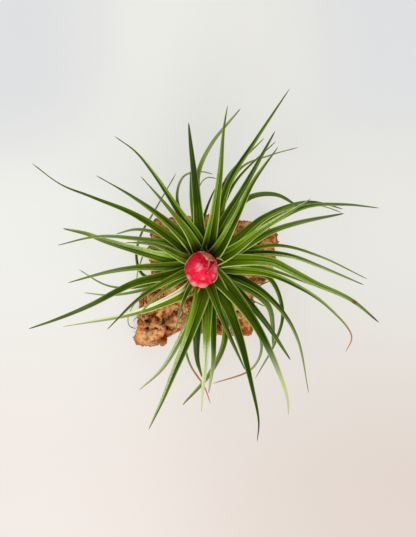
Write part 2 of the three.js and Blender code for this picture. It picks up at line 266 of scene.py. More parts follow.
stageValues = {
    "lens": 126.5,
    "worldStrength": 0.56,
    "keyEnergy": 15.0,
    "fillEnergy": 4.0,
    "floorGlow": 0.66,
    "exposure": 0.0,
    "sky": tint(246, 247, 248),
    "floorEast": tint(232, 231, 226),
    "floorWest": tint(240, 240, 235),
    "floorSouthEastShade": tint(224, 212, 204),
    "floorSouthWest": tint(240, 232, 226),
    "floorCornerShade": tint(224, 225, 226),
}


def makeCamera():
    data = bpy.data.cameras.new("viewFromAbove")
    data.sensor_fit = "VERTICAL"
    data.sensor_height = 36
    data.lens = stageValues["lens"]
    data.clip_start = 0.01
    data.clip_end = 50
    camera = bpy.data.objects.new("viewFromAbove", data)
    camera.location = (sightLine[0] * millimetre, sightLine[1] * millimetre, eyeHeight * millimetre)
    bpy.context.collection.objects.link(camera)
    bpy.context.scene.camera = camera


def makeLight(name, place, target, size, energy, colour):
    data = bpy.data.lights.new(name, "AREA")
    data.shape = "DISK"
    data.size = size
    data.energy = energy
    data.color = colour
    lamp = bpy.data.objects.new(name, data)
    lamp.location = place
    lamp.rotation_euler = (Vector(target) - Vector(place)).to_track_quat("-Z", "Y").to_euler()
    bpy.context.collection.objects.link(lamp)


def makeWorld():
    world = bpy.data.worlds.new("paleRoom")
    world.use_nodes = True
    sky = world.node_tree.nodes["Background"]
    sky.inputs[0].default_value = stageValues["sky"]
    sky.inputs[1].default_value = stageValues["worldStrength"]
    bpy.context.scene.world = world
    bpy.context.scene.view_settings.view_transform = "Standard"
    bpy.context.scene.view_settings.exposure = stageValues["exposure"]


# A pale floor that glows so that shadows on it stay faint. Its tones are painted light and shade: lighter to
# the west, rosier to the south, darker to the south-east and in the northern corners.
def paleFloor():
    material, tree, shader = newMaterial("paleFloor", Roughness=0.8, Specular_IOR_Level=0.1)
    place = objectPlace(tree)
    parts = addNode(tree, "ShaderNodeSeparateXYZ", {0: place})
    wash = maths(tree, "MULTIPLY", maths(tree, "SUBTRACT", noiseAt(tree, place, 5.0, 1.0), 0.5), 0.06)
    eastward = maths(tree, "ADD", parts.outputs[0], wash)
    northward = maths(tree, "ADD", parts.outputs[1], wash)
    west = stepBetween(tree, eastward, 0.14, -0.12)
    low = stepBetween(tree, northward, 0.02, -0.16)
    high = stepBetween(tree, northward, 0.04, 0.13)
    beside = stepBetween(tree, maths(tree, "ABSOLUTE", eastward), 0.03, 0.12)
    colour = blendColour(tree, west, stageValues["floorEast"], stageValues["floorWest"])
    rosy = blendColour(tree, west, stageValues["floorSouthEastShade"], stageValues["floorSouthWest"])
    colour = blendColour(tree, low, colour, rosy)
    corners = maths(tree, "MULTIPLY", high, beside)
    colour = blendColour(tree, corners, colour, stageValues["floorCornerShade"])
    dimmed = blendColour(tree, stageValues["floorGlow"], colour, (0, 0, 0, 1))
    tree.links.new(dimmed, shader.inputs["Base Color"])
    tree.links.new(colour, shader.inputs["Emission Color"])
    shader.inputs["Emission Strength"].default_value = stageValues["floorGlow"]
    return material


def makeFloor():
    half = 4.0
    corners = [(-half, -half, 0), (half, -half, 0), (half, half, 0), (-half, half, 0)]
    meshObject("pale_floor", corners, [(0, 1, 2, 3)], paleFloor(), smooth=False)


makeCamera()
makeWorld()
makeLight("southWindow", (0.1, -1.05, 1.25), (0, 0, 0.05), 0.7, stageValues["keyEnergy"], (1.0, 0.985, 0.96))
makeLight("northFill", (-0.3, 1.1, 1.2), (0, 0, 0.05), 0.9, stageValues["fillEnergy"], (1.0, 1.0, 1.0))
makeFloor()
print("camera, light and floor")


# leaves

leafValues = {
    "stations": 52,
    "profilePoints": 16,
    "channelFold": 0.42,
    "bladeThickness": 0.28,
    "ripple": 0.0002,
    "rootRadius": 1.6,
    "lowestRoot": 30.5,
    "highestRoot": 48.0,
    "sheathCount": 18,
    "sheathReach": 20,
    "sheathWidth": 9,
    "scaleCount": 12,
    "scaleReach": 8.5,
    "leastHalfWidth": 0.36,
    "baseFlare": 1.3,
    "flareEnd": 0.55,
    "darkFibre": tint(16, 32, 0),
    "lightFibre": tint(54, 82, 0),
    "patch": tint(82, 112, 6),
    "paintedSunlitBase": tint(132, 166, 6),
    "deepBase": tint(14, 34, 0),
    "midline": tint(140, 172, 60),
    "litBase": tint(112, 150, 2),
    "litBlade": tint(134, 166, 46),
    "silver": tint(234, 240, 200),
    "margin": tint(218, 234, 134),
    "paleEnd": tint(200, 208, 152),
    "rust": tint(190, 116, 66),
    "scar": tint(110, 62, 34),
    "dryTip": tint(82, 68, 66),
}

# tier: 0 for the oldest leaf, at the foot of the stem, to 1 for the youngest. lift: degrees at which it
# leaves the stem. tip: the tip's height. width: its widest. roll: degrees that the blade is turned about
# its length. plan: x, y pairs from the stem to the tip. slender: 1 where the blade keeps its width almost
# to the tip.
# Looks, each 0 to 1: painted light on the left or right flank, where silver starts, painted sunlight and
# painted shade on the base, pale end and its start, dry share of the tip, rust and its start, bright margins
# with painted rim light, light midline, place of a scar.
leafLooks = ("left", "right", "silverStart", "glow", "deep", "pale", "paleStart", "dry", "rust", "rustStart",
             "edgeLeft", "edgeRight", "midline", "scar")


# Left and right are as seen looking outward from the stem. The looks start from the way the leaf points, as
# painted light:
# the flank that faces south is painted lighter, the base gets painted sunlight most to the east and west and
# painted shade most to the north, and ends are paler, a painted sheen, to the south.
def leaf(tier, lift, tip, width, roll, plan, **looks):
    end = Vector((plan[-2], plan[-1])).normalized()
    south = clamp(0.5 - 0.62 * end.y)
    east = clamp(0.5 + 0.9 * end.x)
    eastWest = 1 - abs(end.y)
    bright = 0.62 + 0.38 * eastWest
    made = {
        "left": 0.3 * (1 - east) + 0.1 * eastWest + 0.06 * (1 - south),
        "right": 0.3 * east + 0.14 * eastWest + 0.06 * (1 - south), "silverStart": 0.1,
        "glow": 0.12 - 0.02 * south + 0.9 * eastWest, "deep": clamp(max(0.04 + 1.2 * end.y, -0.6 * end.y)),
        "pale": 0.05 + 0.35 * south, "paleStart": 0.42, "dry": 0.015 + 0.03 * clamp(0.4 + end.y),
        "rust": 0.0, "rustStart": 0.5,
        "edgeLeft": (1 - 0.55 * east) * bright, "edgeRight": (0.45 + 0.55 * east) * bright,
        "midline": 0.0, "scar": 2.0, "slender": clamp(0.8 - 0.07 * width, 0.2, 0.75),
    }
    made.update(looks)
    made.update(tier=tier, lift=lift, tip=tip, width=width, roll=roll, plan=plan)
    return made


leaves = [
    # north-west
    leaf(0.8, 31, 80, 7.2, 8, [-15.8, 13.2, -45.5, 33, -75.2, 45.3, -95, 53.4, -113.4, 67], slender=0.05,
         left=0.12, dry=0.06),
    leaf(0.88, 38, 88, 8.4, 6, [-9.2, 13.5, -27.6, 30.9, -48.1, 45.6, -71.3, 59.1], slender=0.1, left=0.3),
    leaf(0.95, 46, 98, 7.2, 0, [-9.2, 19.4, -22.8, 37, -41.7, 58.4], slender=0.2, right=0.3, dry=0.036),
    leaf(0.92, 42, 98, 7.2, -10, [-3.3, 15.8, -16, 35, -34.1, 61.6, -45.4, 75, -59.1, 85], slender=0.2,
         right=0.42, left=0.1, glow=0.3, dry=0.048),
    leaf(0.84, 42, 100, 8.6, 0, [-2.6, 19.8, -5, 46.2, -8.6, 77.9, -10.2, 93.9], slender=0.55, right=0.1,
         left=0.1, dry=0.036),
    leaf(0.74, 40, 92, 6, 10, [-4.6, 20, -8.2, 40, -9.2, 62], glow=0.3),
    leaf(0.4, 18, 44, 3.6, 0, [-13, 28, -17.8, 46, -13.2, 58.7, -2, 61.5, 5.9, 60], pale=0.4, glow=0.3),
    # west
    leaf(0.4, 16, 30, 4.4, 0, [-17, 13, -33.7, 21.8, -45.5, 23.4, -57.8, 20.5], slender=0.75, right=0.35,
         pale=0.4),
    leaf(0.86, 29, 62, 4.8, 0, [-18.5, 12.8, -42.2, 17.1, -70, 18.8, -96.7, 13], slender=0.5, right=0.3,
         pale=0.15, dry=0.042),
    leaf(0.96, 34, 84, 8, -8, [-14.5, 5.3, -32.3, 13.5, -51.5, 14.9], left=0.4, dry=0.036),
    leaf(0.74, 24, 58, 8.5, -8, [-15.8, 3, -30, 5.9, -45.5, 10.3, -65.3, 16.2, -78, 20.8, -93.1, 24.1],
         slender=0.6, glow=0.7, right=0.56, left=0.2, deep=0.0),
    leaf(0.2, 10, 9, 2.6, 0, [-20, 7, -36.3, 11.4, -43, -2, -44.6, -9.9], pale=0.3),
    leaf(0.15, 8, 17, 2.8, 0, [-24, -10, -40.2, -6.5, -44.7, 5.6, -41.7, 19.9, -33.9, 33.6, -18.5, 60.4],
         pale=0.3),
    leaf(0.8, 27, 62, 6.9, 6, [-12.5, -1, -28, -1.4, -42.2, -1.7, -62, -4.4, -89.8, -11.7], slender=0.4,
         glow=0.45, dry=0.036),
    # south-west
    leaf(0.84, 28, 64, 6.4, 0, [-15.8, -5.3, -45.5, -11.9, -75.2, -26.6, -95, -35, -115.8, -42.2],
         slender=0.6, glow=0.4, deep=0.5, dry=0.048, left=0.15, pale=0.15),
    leaf(0.35, 10, 20, 3.1, 0, [-22, -9, -48, -15, -64.7, -13.2, -82.5, -3], slender=0.7, pale=0.4,
         right=0.4),
    leaf(0.42, 12, 24, 4.2, 0, [-25.7, -11.9, -45.5, -17.6, -62, -19.9, -79.2, -18.3], slender=0.5,
         pale=0.5, right=0.4),
    leaf(0.92, 35, 78, 5.2, 10, [-15.8, -6.6, -32.3, -15.2, -45.5, -24.4, -63.9, -42.6], pale=0.1,
         dry=0.06),
    leaf(0.86, 34, 72, 4, 0, [-15.8, -9.9, -30.4, -19.8, -46.9, -37], right=0.3),
    leaf(0.66, 21, 44, 8.8, -14, [-9.2, -14.5, -32.3, -26.8, -52.1, -33, -93.1, -40.6], slender=0.2,
         right=1.15, pale=0.4, left=0.35, silverStart=0.0, glow=0.9, deep=0.0),
    leaf(0.1, 6, 6, 1.8, 0, [-20, -9, -40.3, -19.1, -50, -34, -49, -40.3, -44.8, -42], pale=0.5),
    # south
    leaf(0.8, 30, 58, 4.4, 0, [-9.2, -14.5, -14.5, -26.4, -19.5, -46.2], glow=1.1, right=0.25, left=0.25,
         deep=0.0, edgeLeft=1.0, edgeRight=1.0, silverStart=0.6),
    leaf(0.6, 24, 50, 7.8, 8, [-3.3, -21.8, -14.2, -46.2, -27.6, -68.6, -42.6, -82.4], slender=0.4,
         right=0.7, pale=0.5, left=0.45, paleStart=0.45, silverStart=0.28),
    leaf(0.95, 33, 76, 10.2, 0, [-0.7, -16.5, -9.4, -44.9, -20.6, -72.6, -27.4, -89, -36.6, -108.6],
         slender=0.35, glow=0.6, right=0.62, left=0.0, pale=0.1, silverStart=0.28),
    leaf(0.2, 12, 8, 2.8, 0, [-4, -24, -9.5, -42, -12.2, -54, -8.6, -66.7, 0, -79.9, 4.3, -91.4],
         slender=0.8, rust=1.0, rustStart=0.66, deep=0.9, glow=0.2),
    leaf(0.6, 20, 44, 11, -8, [-2, -20, -4.8, -43, -4.6, -62, -1.4, -74], slender=0.5, glow=0.2, pale=0.1,
         deep=0.9, left=0.0, right=0.0),
    leaf(0.84, 28, 64, 9.2, 0, [1.8, -26.4, 1.7, -47.5, 0.9, -64.7, -0.6, -80, -1.8, -96.7], slender=0.35,
         left=1.0, right=0.95, pale=0.8, paleStart=0.58, glow=0.1, silverStart=0.42, deep=0.9),
    leaf(0.7, 25, 54, 6, 8, [5.3, -25.1, 6.4, -50, 6.1, -64.7, 4.4, -76, 3, -84.4], slender=0.8, right=0.2,
         left=0.0, deep=0.7, pale=0.9, paleStart=0.6),
    leaf(0.35, 14, 24, 6, 0, [12, -24, 13.6, -49.5, 3.6, -71.9, -14.2, -92.4], slender=0.8, right=0.35,
         left=0.0, pale=0.25),
    leaf(1, 37, 86, 6.4, 6, [5, -16, 13.9, -39.6, 27.1, -69.3], slender=0.5, glow=0.45, pale=0.1,
         dry=0.042),
    leaf(0.6, 24, 58, 4.6, 0, [10, -22, 19.8, -44.2, 31, -76.6], left=0.4, pale=1.0),
    leaf(0.9, 34, 76, 8.8, 8, [11, -16.5, 22.8, -45.2, 31.3, -78.4, 36.1, -103, 35.1, -116.5], slender=0.25,
         glow=0.3, pale=0.0, dry=0.096, midline=0.1, left=0.0, right=0.0, edgeLeft=0.5, edgeRight=0.5,
         deep=0.3),
    leaf(0.3, 16, 10, 3.2, 0, [26, -28, 38, -53, 31.7, -68.2, 5.8, -78.3], slender=0.7, rust=0.7,
         rustStart=0.68, pale=0.6, paleStart=0.4, dry=0.0),
    leaf(0.94, 35, 80, 9.8, 0, [15.8, -15.2, 33.7, -38.9, 46.9, -64.7, 55, -88, 55.8, -99], slender=0.35,
         glow=0.5, pale=1.0, paleStart=0.52, dry=0.0, right=0.15),
    leaf(0.72, 28, 68, 7.2, 0, [20, -15.4, 39.4, -36.6, 57.1, -62.7], slender=0.6, glow=0.35, midline=0.15,
         right=0.15, pale=0.1, dry=0.036),
    # east
    leaf(0.3, 12, 22, 2, 0, [17, -14, 30, -22.2, 40.2, -27.4], glow=0.1, deep=0.9, pale=0.0),
    leaf(0.4, 14, 16, 7.3, 0, [19, -9.5, 36.6, -20.8, 43, -28.4, 45.3, -40, 45.5, -54.8], slender=0.7,
         right=0.35, left=0.0, pale=0.2, deep=0.7),
    leaf(0.5, 22, 13, 4.2, 0, [20, -4, 42.9, -8.6, 51.8, -31, 47.5, -49.5, 33.7, -75], slender=0.65,
         pale=0.5, paleStart=0.6, dry=0.0),
    leaf(0.3, 14, 28, 2.2, 0, [20, -6, 33, -14, 40.3, -11.9, 45.9, -8.9], glow=0.1, deep=0.9, pale=0.0),
    leaf(0.56, 17, 18, 6.5, 0, [23.1, -8.8, 38.9, -18.2, 53.2, -32.9, 62.2, -50.2, 69, -84.5], slender=0.2,
         glow=0.15, pale=0.3, deep=0.8),
    leaf(0.72, 21, 40, 5.2, 6, [17, -2.8, 41.1, -5.4, 60, -13, 80, -26, 97.4, -46.9, 93.4, -57.4], rust=0.9,
         rustStart=0.8, glow=0.8, left=0.45, right=0.0, deep=0.0),
    leaf(0.78, 21, 46, 4.6, 0, [20, 0.2, 37.6, -1.3, 50.3, -5.1, 75.6, -14.9], glow=0.9, left=0.4,
         deep=0.0),
    leaf(0.92, 29, 60, 7.6, -8, [16, 2.8, 43.6, 2, 56, -3.4, 73.3, -12.3, 97, -23.1, 115.5, -38],
         slender=0.6, glow=0.3, right=0.5, left=0.25, pale=0.1, dry=0.072, scar=0.83, deep=0.0),
    leaf(0.76, 25, 60, 5.2, 0, [20.5, 6.2, 37.6, 7.9, 50.2, 7.3, 61, 4.9, 79.9, -2.4, 105.6, -13.2],
         slender=0.6, right=0.55, left=0.0, glow=0.3, dry=0.048),
    leaf(0.68, 25, 62, 3.4, 0, [25.7, 9.5, 50, 12.8, 76.6, 5.6, 107.6, -9.2], slender=0.6, right=0.35,
         pale=0.3, dry=0.036),
    # north-east
    leaf(0.74, 28, 60, 6, 0, [20.5, 8.8, 42.9, 21.4, 60.3, 27.4, 92.4, 34], slender=0.75, left=0.0,
         right=0.25, dry=0.042),
    leaf(0.96, 41, 92, 8.8, -16, [17.2, 7.9, 37, 22.4, 70.3, 43.6], slender=0.3, left=0.6, glow=0.3,
         dry=0.03, silverStart=0.35),
    leaf(0.5, 24, 58, 2.4, 0, [15, 9, 40.3, 28, 66, 40, 79, 38.6, 90.4, 34.7], pale=0.4),
    leaf(0.66, 27, 66, 6.2, 0, [15, 7, 33.7, 21, 66.7, 38.3, 93.1, 39.9, 115.5, 37.6], slender=0.45,
         right=0.3, dry=0.042),
    leaf(0.76, 29, 62, 8.6, 8, [15, 10, 40.3, 31.6, 66, 41.2, 79, 40.4, 91.7, 36.8], slender=0.35, left=0.1,
         right=0.3),
    leaf(0.55, 36, 74, 6.2, 0, [15, 24, 28.4, 43.6, 46.9, 46.5, 62.7, 38.3], slender=0.8, left=0.0,
         right=0.2),
    leaf(0.96, 44, 100, 8.1, 12, [10, 12, 21.6, 33.2, 31.2, 53.2, 48.8, 77.9], slender=0.35, left=0.45,
         right=0.0, glow=0.45, dry=0.036),
    leaf(0.86, 40, 98, 7.2, 0, [9.2, 22.4, 28.4, 54.8, 46.9, 88.4], slender=0.5, dry=0.072),
    leaf(0.4, 26, 62, 2.8, 0, [12, 38, 24.4, 64, 43, 72.2, 62, 77.6], slender=0.65, pale=0.4),
    leaf(0.5, 30, 72, 3.6, 0, [10, 32, 21.1, 55.4, 47.2, 81.5]),
    leaf(0.8, 38, 102, 6.8, -8, [8.3, 26.4, 16.5, 54.1, 33.7, 81.8, 56.4, 116.2], slender=0.35, left=0.1,
         glow=0.25, dry=0.042),
    leaf(0.6, 32, 80, 5, 0, [6, 32, 15.8, 58, 39.6, 83.8], pale=0.3),
    leaf(0.94, 42, 106, 8.4, 10, [5, 23.1, 10.3, 59.4, 12.9, 89.1, 15.5, 105.3], slender=0.3, left=0.45,
         right=0.2, dry=0.036),
    leaf(0.5, 30, 74, 5, 0, [-3, 34, -4, 59.4, 4.6, 79.2, 24.1, 103.3], slender=0.75, left=0.3, pale=0.4),
    leaf(0.35, 20, 44, 2.2, 0, [-5, 30, -3, 52.1, 2, 57.6, 8.3, 57.1], pale=0.4),
    leaf(0.45, 24, 50, 3.8, 0, [-1.5, 24, 2.6, 39.6, 9, 54], glow=0.15),
]


# Short, broad old leaves that clasp the bulb, each a golden angle on from the last and a little higher,
# and below them the dry scales of leaves that have gone.
def sheaths():
    chance = seededRandom(5)
    made = []
    for i in range(leafValues["sheathCount"]):
        turn = i * goldenAngle
        age = i / leafValues["sheathCount"]
        reach = leafValues["sheathReach"] + 5 * chance()
        tip = leafValues["lowestRoot"] + 6 + 12 * age + 3 * chance()
        plan = [f(turn) * reach * share for share in (0.6, 1) for f in (math.cos, math.sin)]
        made.append(leaf(age * 0.5, 12, tip, leafValues["sheathWidth"], 0, plan,
                         glow=0.25, deep=0.9, dry=0.1))
    for i in range(leafValues["scaleCount"]):
        turn = (i + 0.5) * goldenAngle
        age = i / leafValues["scaleCount"]
        reach = leafValues["scaleReach"] + 2 * chance() + 2 * age
        tip = leafValues["lowestRoot"] - 1 + 5 * age + 2 * chance()
        plan = [f(turn) * reach * share for share in (0.6, 1) for f in (math.cos, math.sin)]
        made.append(leaf(-0.22 + 0.2 * age, 20, tip, leafValues["sheathWidth"], 0, plan,
                         glow=0.0, dry=0.85))
    return made


# A slender blade keeps its width almost to the tip; others narrow evenly. All flare into their sheath.
def leafTaper(slender, share):
    flare = lerp(leafValues["baseFlare"], 1, smoothStep(share, 0.05, leafValues["flareEnd"]))
    return flare * lerp((1 - share) ** 1.3, (1 - share) ** 0.4, slender)


# A leaf's middle line with what the sweep and the skin need to know at each of its points.
def leafLine(row, index):
    stations = leafValues["stations"]
    plan = pairs(row["plan"])
    root = plan[0].normalized() * leafValues["rootRadius"]
    line, reach = smoothPath([root] + plan, stations)
    rootHeight = lerp(leafValues["lowestRoot"], leafValues["highestRoot"], row["tier"])
    climb = math.tan(math.radians(row["lift"])) * reach
    points = []
    values = {name: [] for name in ("along", "halfWidth", "roll", "leafSeed") + leafLooks}
    for i, p in enumerate(line):
        s = i / stations
        z = rootHeight + climb * s + (row["tip"] - rootHeight - climb) * s * s
        points.append(placeFromAbove(p.x, p.y, z) * millimetre)
        least = leafValues["leastHalfWidth"] * min(1, (1 - s) / 0.05 + 0.25)
        half = max(row["width"] * leafTaper(row["slender"], s) / 2, least)
        values["along"].append(s)
        values["halfWidth"].append(half * millimetre)
        values["roll"].append(math.radians(row["roll"]))
        values["leafSeed"].append((index * 0.618) % 1)
        for look in leafLooks:
            values[look].append(row[look])
    return points, values


# All the lines in one mesh of edges, ready for the sweep.
def lineCarrier(name, lines):
    vertices, edges, layers = [], [], {}
    for points, values in lines:
        first = len(vertices)
        vertices += points
        edges += [(first + i, first + i + 1) for i in range(len(points) - 1)]
        for key, numbers in values.items():
            layers.setdefault(key, []).extend(numbers)
    carrier = meshObject(name, vertices, [], edges=edges)
    for key, numbers in layers.items():
        storeValues(carrier, key, numbers)
    return carrier


# Sweeps a channelled profile along each line: a circle, pressed flat and folded along its middle.
def bladeTree():
    tree = bpy.data.node_groups.new("bladeSweep", "GeometryNodeTree")
    face = tree.interface
    face.new_socket("Lines", in_out="INPUT", socket_type="NodeSocketGeometry")
    face.new_socket("Profile points", in_out="INPUT", socket_type="NodeSocketInt")
    face.new_socket("Channel fold", in_out="INPUT", socket_type="NodeSocketFloat")
    face.new_socket("Blade thickness", in_out="INPUT", socket_type="NodeSocketFloat")
    face.new_socket("Ripple", in_out="INPUT", socket_type="NodeSocketFloat")
    face.new_socket("Skin", in_out="INPUT", socket_type="NodeSocketMaterial")
    face.new_socket("Blades", in_out="OUTPUT", socket_type="NodeSocketGeometry")
    given = addNode(tree, "NodeGroupInput").outputs
    made = addNode(tree, "NodeGroupOutput")

    def named(name):
        return addNode(tree, "GeometryNodeInputNamedAttribute", {"Name": name}, data_type="FLOAT").outputs[0]

    def store(geometry, name, value):
        inputs = {"Geometry": geometry, "Name": name, "Value": value}
        stored = addNode(tree, "GeometryNodeStoreNamedAttribute", inputs, data_type="FLOAT", domain="POINT")
        return stored.outputs[0]

    lines = addNode(tree, "GeometryNodeMeshToCurve", {"Mesh": given["Lines"]}).outputs[0]
    lines = addNode(tree, "GeometryNodeSetCurveNormal", {"Curve": lines}, mode="Z_UP").outputs[0]
    lines = addNode(tree, "GeometryNodeSetCurveTilt", {"Curve": lines, "Tilt": named("roll")}).outputs[0]
    inputs = {"Resolution": given["Profile points"], "Radius": 1.0}
    ring = addNode(tree, "GeometryNodeCurvePrimitiveCircle", inputs)
    place = addNode(tree, "ShaderNodeSeparateXYZ", {0: addNode(tree, "GeometryNodeInputPosition").outputs[0]})
    across, lid = place.outputs[0], place.outputs[1]
    ring = store(store(ring.outputs[0], "across", across), "lid", lid)
    rise = maths(tree, "POWER", maths(tree, "ABSOLUTE", across), 1.5)
    rise = maths(tree, "MULTIPLY", rise, given["Channel fold"])
    halfThick = maths(tree, "MULTIPLY", given["Blade thickness"], 0.5)
    rise = maths(tree, "ADD", rise, maths(tree, "MULTIPLY", lid, halfThick))
    pressed = addNode(tree, "ShaderNodeCombineXYZ", {0: maths(tree, "MULTIPLY", across, -1.0),
                                                     1: maths(tree, "MULTIPLY", rise, -1.0)}).outputs[0]
    ring = addNode(tree, "GeometryNodeSetPosition", {"Geometry": ring, "Position": pressed}).outputs[0]
    inputs = {"Curve": lines, "Profile Curve": ring, "Scale": named("halfWidth"), "Fill Caps": True}
    blades = addNode(tree, "GeometryNodeCurveToMesh", inputs).outputs[0]
    here = addNode(tree, "GeometryNodeInputPosition").outputs[0]
    wave = vectorMaths(tree, "SUBTRACT", {0: colourNoise(tree, here, 90.0), 1: (0.5, 0.5, 0.5)})
    edgeOnly = maths(tree, "POWER", maths(tree, "ABSOLUTE", named("across")), 3.0)
    height = maths(tree, "MULTIPLY", edgeOnly, given["Ripple"])
    wave = vectorMaths(tree, "SCALE", {0: wave, "Scale": height})
    blades = addNode(tree, "GeometryNodeSetPosition", {"Geometry": blades, "Offset": wave}).outputs[0]
    blades = addNode(tree, "GeometryNodeRealizeInstances", {"Geometry": blades}).outputs[0]
    inputs = {"Geometry": blades, "Material": given["Skin"]}
    blades = addNode(tree, "GeometryNodeSetMaterial", inputs).outputs[0]
    tree.links.new(blades, made.inputs["Blades"])
    return tree


# Which flank a point is on picks one of two looks: 0 is the left look, 1 the right.
def perFlank(tree, across, leftLook, rightLook):
    onRight = stepBetween(tree, across, 0.06, -0.06)
    inputs = {0: onRight, 2: attributeOf(tree, leftLook), 3: attributeOf(tree, rightLook)}
    return addNode(tree, "ShaderNodeMix", inputs, data_type="FLOAT").outputs[0]


# Deep olive blades: fibres along the length, flanks with painted light, silver scales and painted sheen,
# painted sunlight and shade at the base, painted shade in the crease, thin bright margins, dry tips.
def leafSkin():
    material, tree, shader = newMaterial("leafSkin", Roughness=0.44, Specular_IOR_Level=0.08)
    shader.inputs["Specular Tint"].default_value = (0.8, 0.95, 0.3, 1)
    place = objectPlace(tree)
    along, across, lid = attributeOf(tree, "along"), attributeOf(tree, "across"), attributeOf(tree, "lid")
    seed = attributeOf(tree, "leafSeed")
    side = maths(tree, "ABSOLUTE", across)
    fibrePlace = addNode(tree, "ShaderNodeCombineXYZ", {0: maths(tree, "MULTIPLY", across, 3.4),
                                                        1: maths(tree, "MULTIPLY", along, 2.0),
                                                        2: maths(tree, "MULTIPLY", seed, 40.0)}).outputs[0]
    fibres = noiseAt(tree, fibrePlace, 1.0, 4.0, 0.7)
    patches = noiseAt(tree, place, 45.0, 2.0)
    colour = blendColour(tree, stepBetween(tree, fibres, 0.38, 0.62), leafValues["darkFibre"],
                         leafValues["lightFibre"])
    patched = stepBetween(tree, patches, 0.45, 0.72, 0.0, 0.5)
    colour = blendColour(tree, patched, colour, leafValues["patch"])
    # near the stem: painted sunlight in yellow-green, and painted shade almost black
    nearStem = stepBetween(tree, along, 0.48, 0.06)
    glow = maths(tree, "MULTIPLY", attributeOf(tree, "glow"), nearStem)
    glow = maths(tree, "MULTIPLY", glow, stepBetween(tree, fibres, 0.34, 0.6, 0.45, 1.1))
    colour = blendColour(tree, glow, colour, leafValues["paintedSunlitBase"])
    nearer = stepBetween(tree, along, 0.5, 0.1)
    deep = maths(tree, "MULTIPLY", attributeOf(tree, "deep"), maths(tree, "MULTIPLY", nearer, 0.85))
    colour = blendColour(tree, deep, colour, leafValues["deepBase"])
    # painted shade in the crease along the middle, or a light midline
    crease = stepBetween(tree, side, 0.24, 0.02, 0.0, 0.62)
    crease = maths(tree, "MULTIPLY", crease, stepBetween(tree, fibres, 0.2, 0.6, 0.5, 1.0))
    colour = blendColour(tree, crease, colour, leafValues["deepBase"])
    midline = maths(tree, "MULTIPLY", stepBetween(tree, side, 0.34, 0.08), attributeOf(tree, "midline"))
    colour = blendColour(tree, midline, colour, leafValues["midline"])
    # the painted light on a flank: yellow-green at low values, silver scales at high ones, so the silver is
    # partly painted sheen, in streaks along the blade
    light = perFlank(tree, across, "left", "right")
    away = stepBetween(tree, along, 0.06, 0.3, 0.25, 1.0)
    broad = stepBetween(tree, side, 0.0, 0.14, 0.3, 1.0)
    light = maths(tree, "MULTIPLY", light, maths(tree, "MULTIPLY", away, broad))
    streak = stepBetween(tree, fibres, 0.32, 0.68, 0.4, 1.3)
    lit = maths(tree, "SUBTRACT", maths(tree, "MULTIPLY", light, 2.2), 0.22, clampIt=True)
    lit = maths(tree, "MULTIPLY", lit, stepBetween(tree, along, 0.5, 0.95, 1.0, 0.6))
    pastStart = maths(tree, "SUBTRACT", along, attributeOf(tree, "silverStart"))
    lit = maths(tree, "MULTIPLY", lit, stepBetween(tree, pastStart, -0.2, 0.1, 0.2, 1.0))
    greenLight = maths(tree, "MULTIPLY", lit, streak)
    litTint = blendColour(tree, nearStem, leafValues["litBlade"], leafValues["litBase"])
    colour = blendColour(tree, greenLight, colour, litTint)
    scales = noiseAt(tree, place, 950.0, 2.0, 0.8)
    silverLight = maths(tree, "MULTIPLY", light, stepBetween(tree, pastStart, 0.0, 0.22, 0.2, 0.8))
    cover = maths(tree, "ADD", maths(tree, "MULTIPLY", scales, 0.6), silverLight)
    silver = maths(tree, "MULTIPLY", stepBetween(tree, cover, 0.6, 1.1), streak)
    under = stepBetween(tree, lid, 0.1, -0.2, 0.0, 0.45)
    silver = maths(tree, "MULTIPLY", maths(tree, "MAXIMUM", silver, under), 0.95)
    colour = blendColour(tree, silver, colour, leafValues["silver"])
    # margins: pale, and brighter on one flank by the way the leaf points, which is partly painted rim light
    edge = perFlank(tree, across, "edgeLeft", "edgeRight")
    brokenUp = stepBetween(tree, patches, 0.36, 0.62, 0.55, 1.0)
    rimOnly = stepBetween(tree, side, 0.76, 0.9)
    margin = maths(tree, "MULTIPLY", rimOnly, maths(tree, "MULTIPLY", edge, brokenUp))
    colour = blendColour(tree, margin, colour, leafValues["margin"])
    # ends: pale, partly painted sheen, then rust, a scar and a dry tip
    pastPale = maths(tree, "SUBTRACT", along, attributeOf(tree, "paleStart"))
    pale = maths(tree, "MULTIPLY", stepBetween(tree, pastPale, 0.0, 0.36), attributeOf(tree, "pale"))
    pale = maths(tree, "MULTIPLY", pale, streak)
    colour = blendColour(tree, pale, colour, leafValues["paleEnd"])
    pastRust = maths(tree, "SUBTRACT", along, attributeOf(tree, "rustStart"))
    rust = maths(tree, "MULTIPLY", stepBetween(tree, pastRust, 0.0, 0.14), attributeOf(tree, "rust"))
    colour = blendColour(tree, rust, colour, leafValues["rust"])
    toScar = maths(tree, "ABSOLUTE", maths(tree, "SUBTRACT", along, attributeOf(tree, "scar")))
    scar = stepBetween(tree, toScar, 0.02, 0.004, 0.0, 0.8)
    colour = blendColour(tree, scar, colour, leafValues["scar"])
    dryStart = maths(tree, "SUBTRACT", 1.0, attributeOf(tree, "dry"))
    dry = stepBetween(tree, maths(tree, "SUBTRACT", along, dryStart), -0.02, 0.04)
    colour = blendColour(tree, maths(tree, "MULTIPLY", dry, 0.85), colour, leafValues["dryTip"])
    tree.links.new(colour, shader.inputs["Base Color"])
    ribs = bumpFrom(tree, fibres, 0.4, 0.0004)
    tree.links.new(bumpFrom(tree, scales, 0.2, 0.00012, ribs), shader.inputs["Normal"])
    return material


def makeLeaves():
    rows = leaves + sheaths()
    carrier = lineCarrier("leafLines", [leafLine(row, i) for i, row in enumerate(rows)])
    values = {
        "Profile points": leafValues["profilePoints"],
        "Channel fold": leafValues["channelFold"],
        "Blade thickness": leafValues["bladeThickness"],
        "Ripple": leafValues["ripple"],
        "Skin": leafSkin(),
    }
    blades = bakeNodes(carrier, "leaf_blades", bladeTree(), values)
    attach(blades, "root")
    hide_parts("leaf_rosette")
    print("leaves:", len(rows), "blades,", len(blades.data.polygons), "faces")


makeLeaves()


# stem

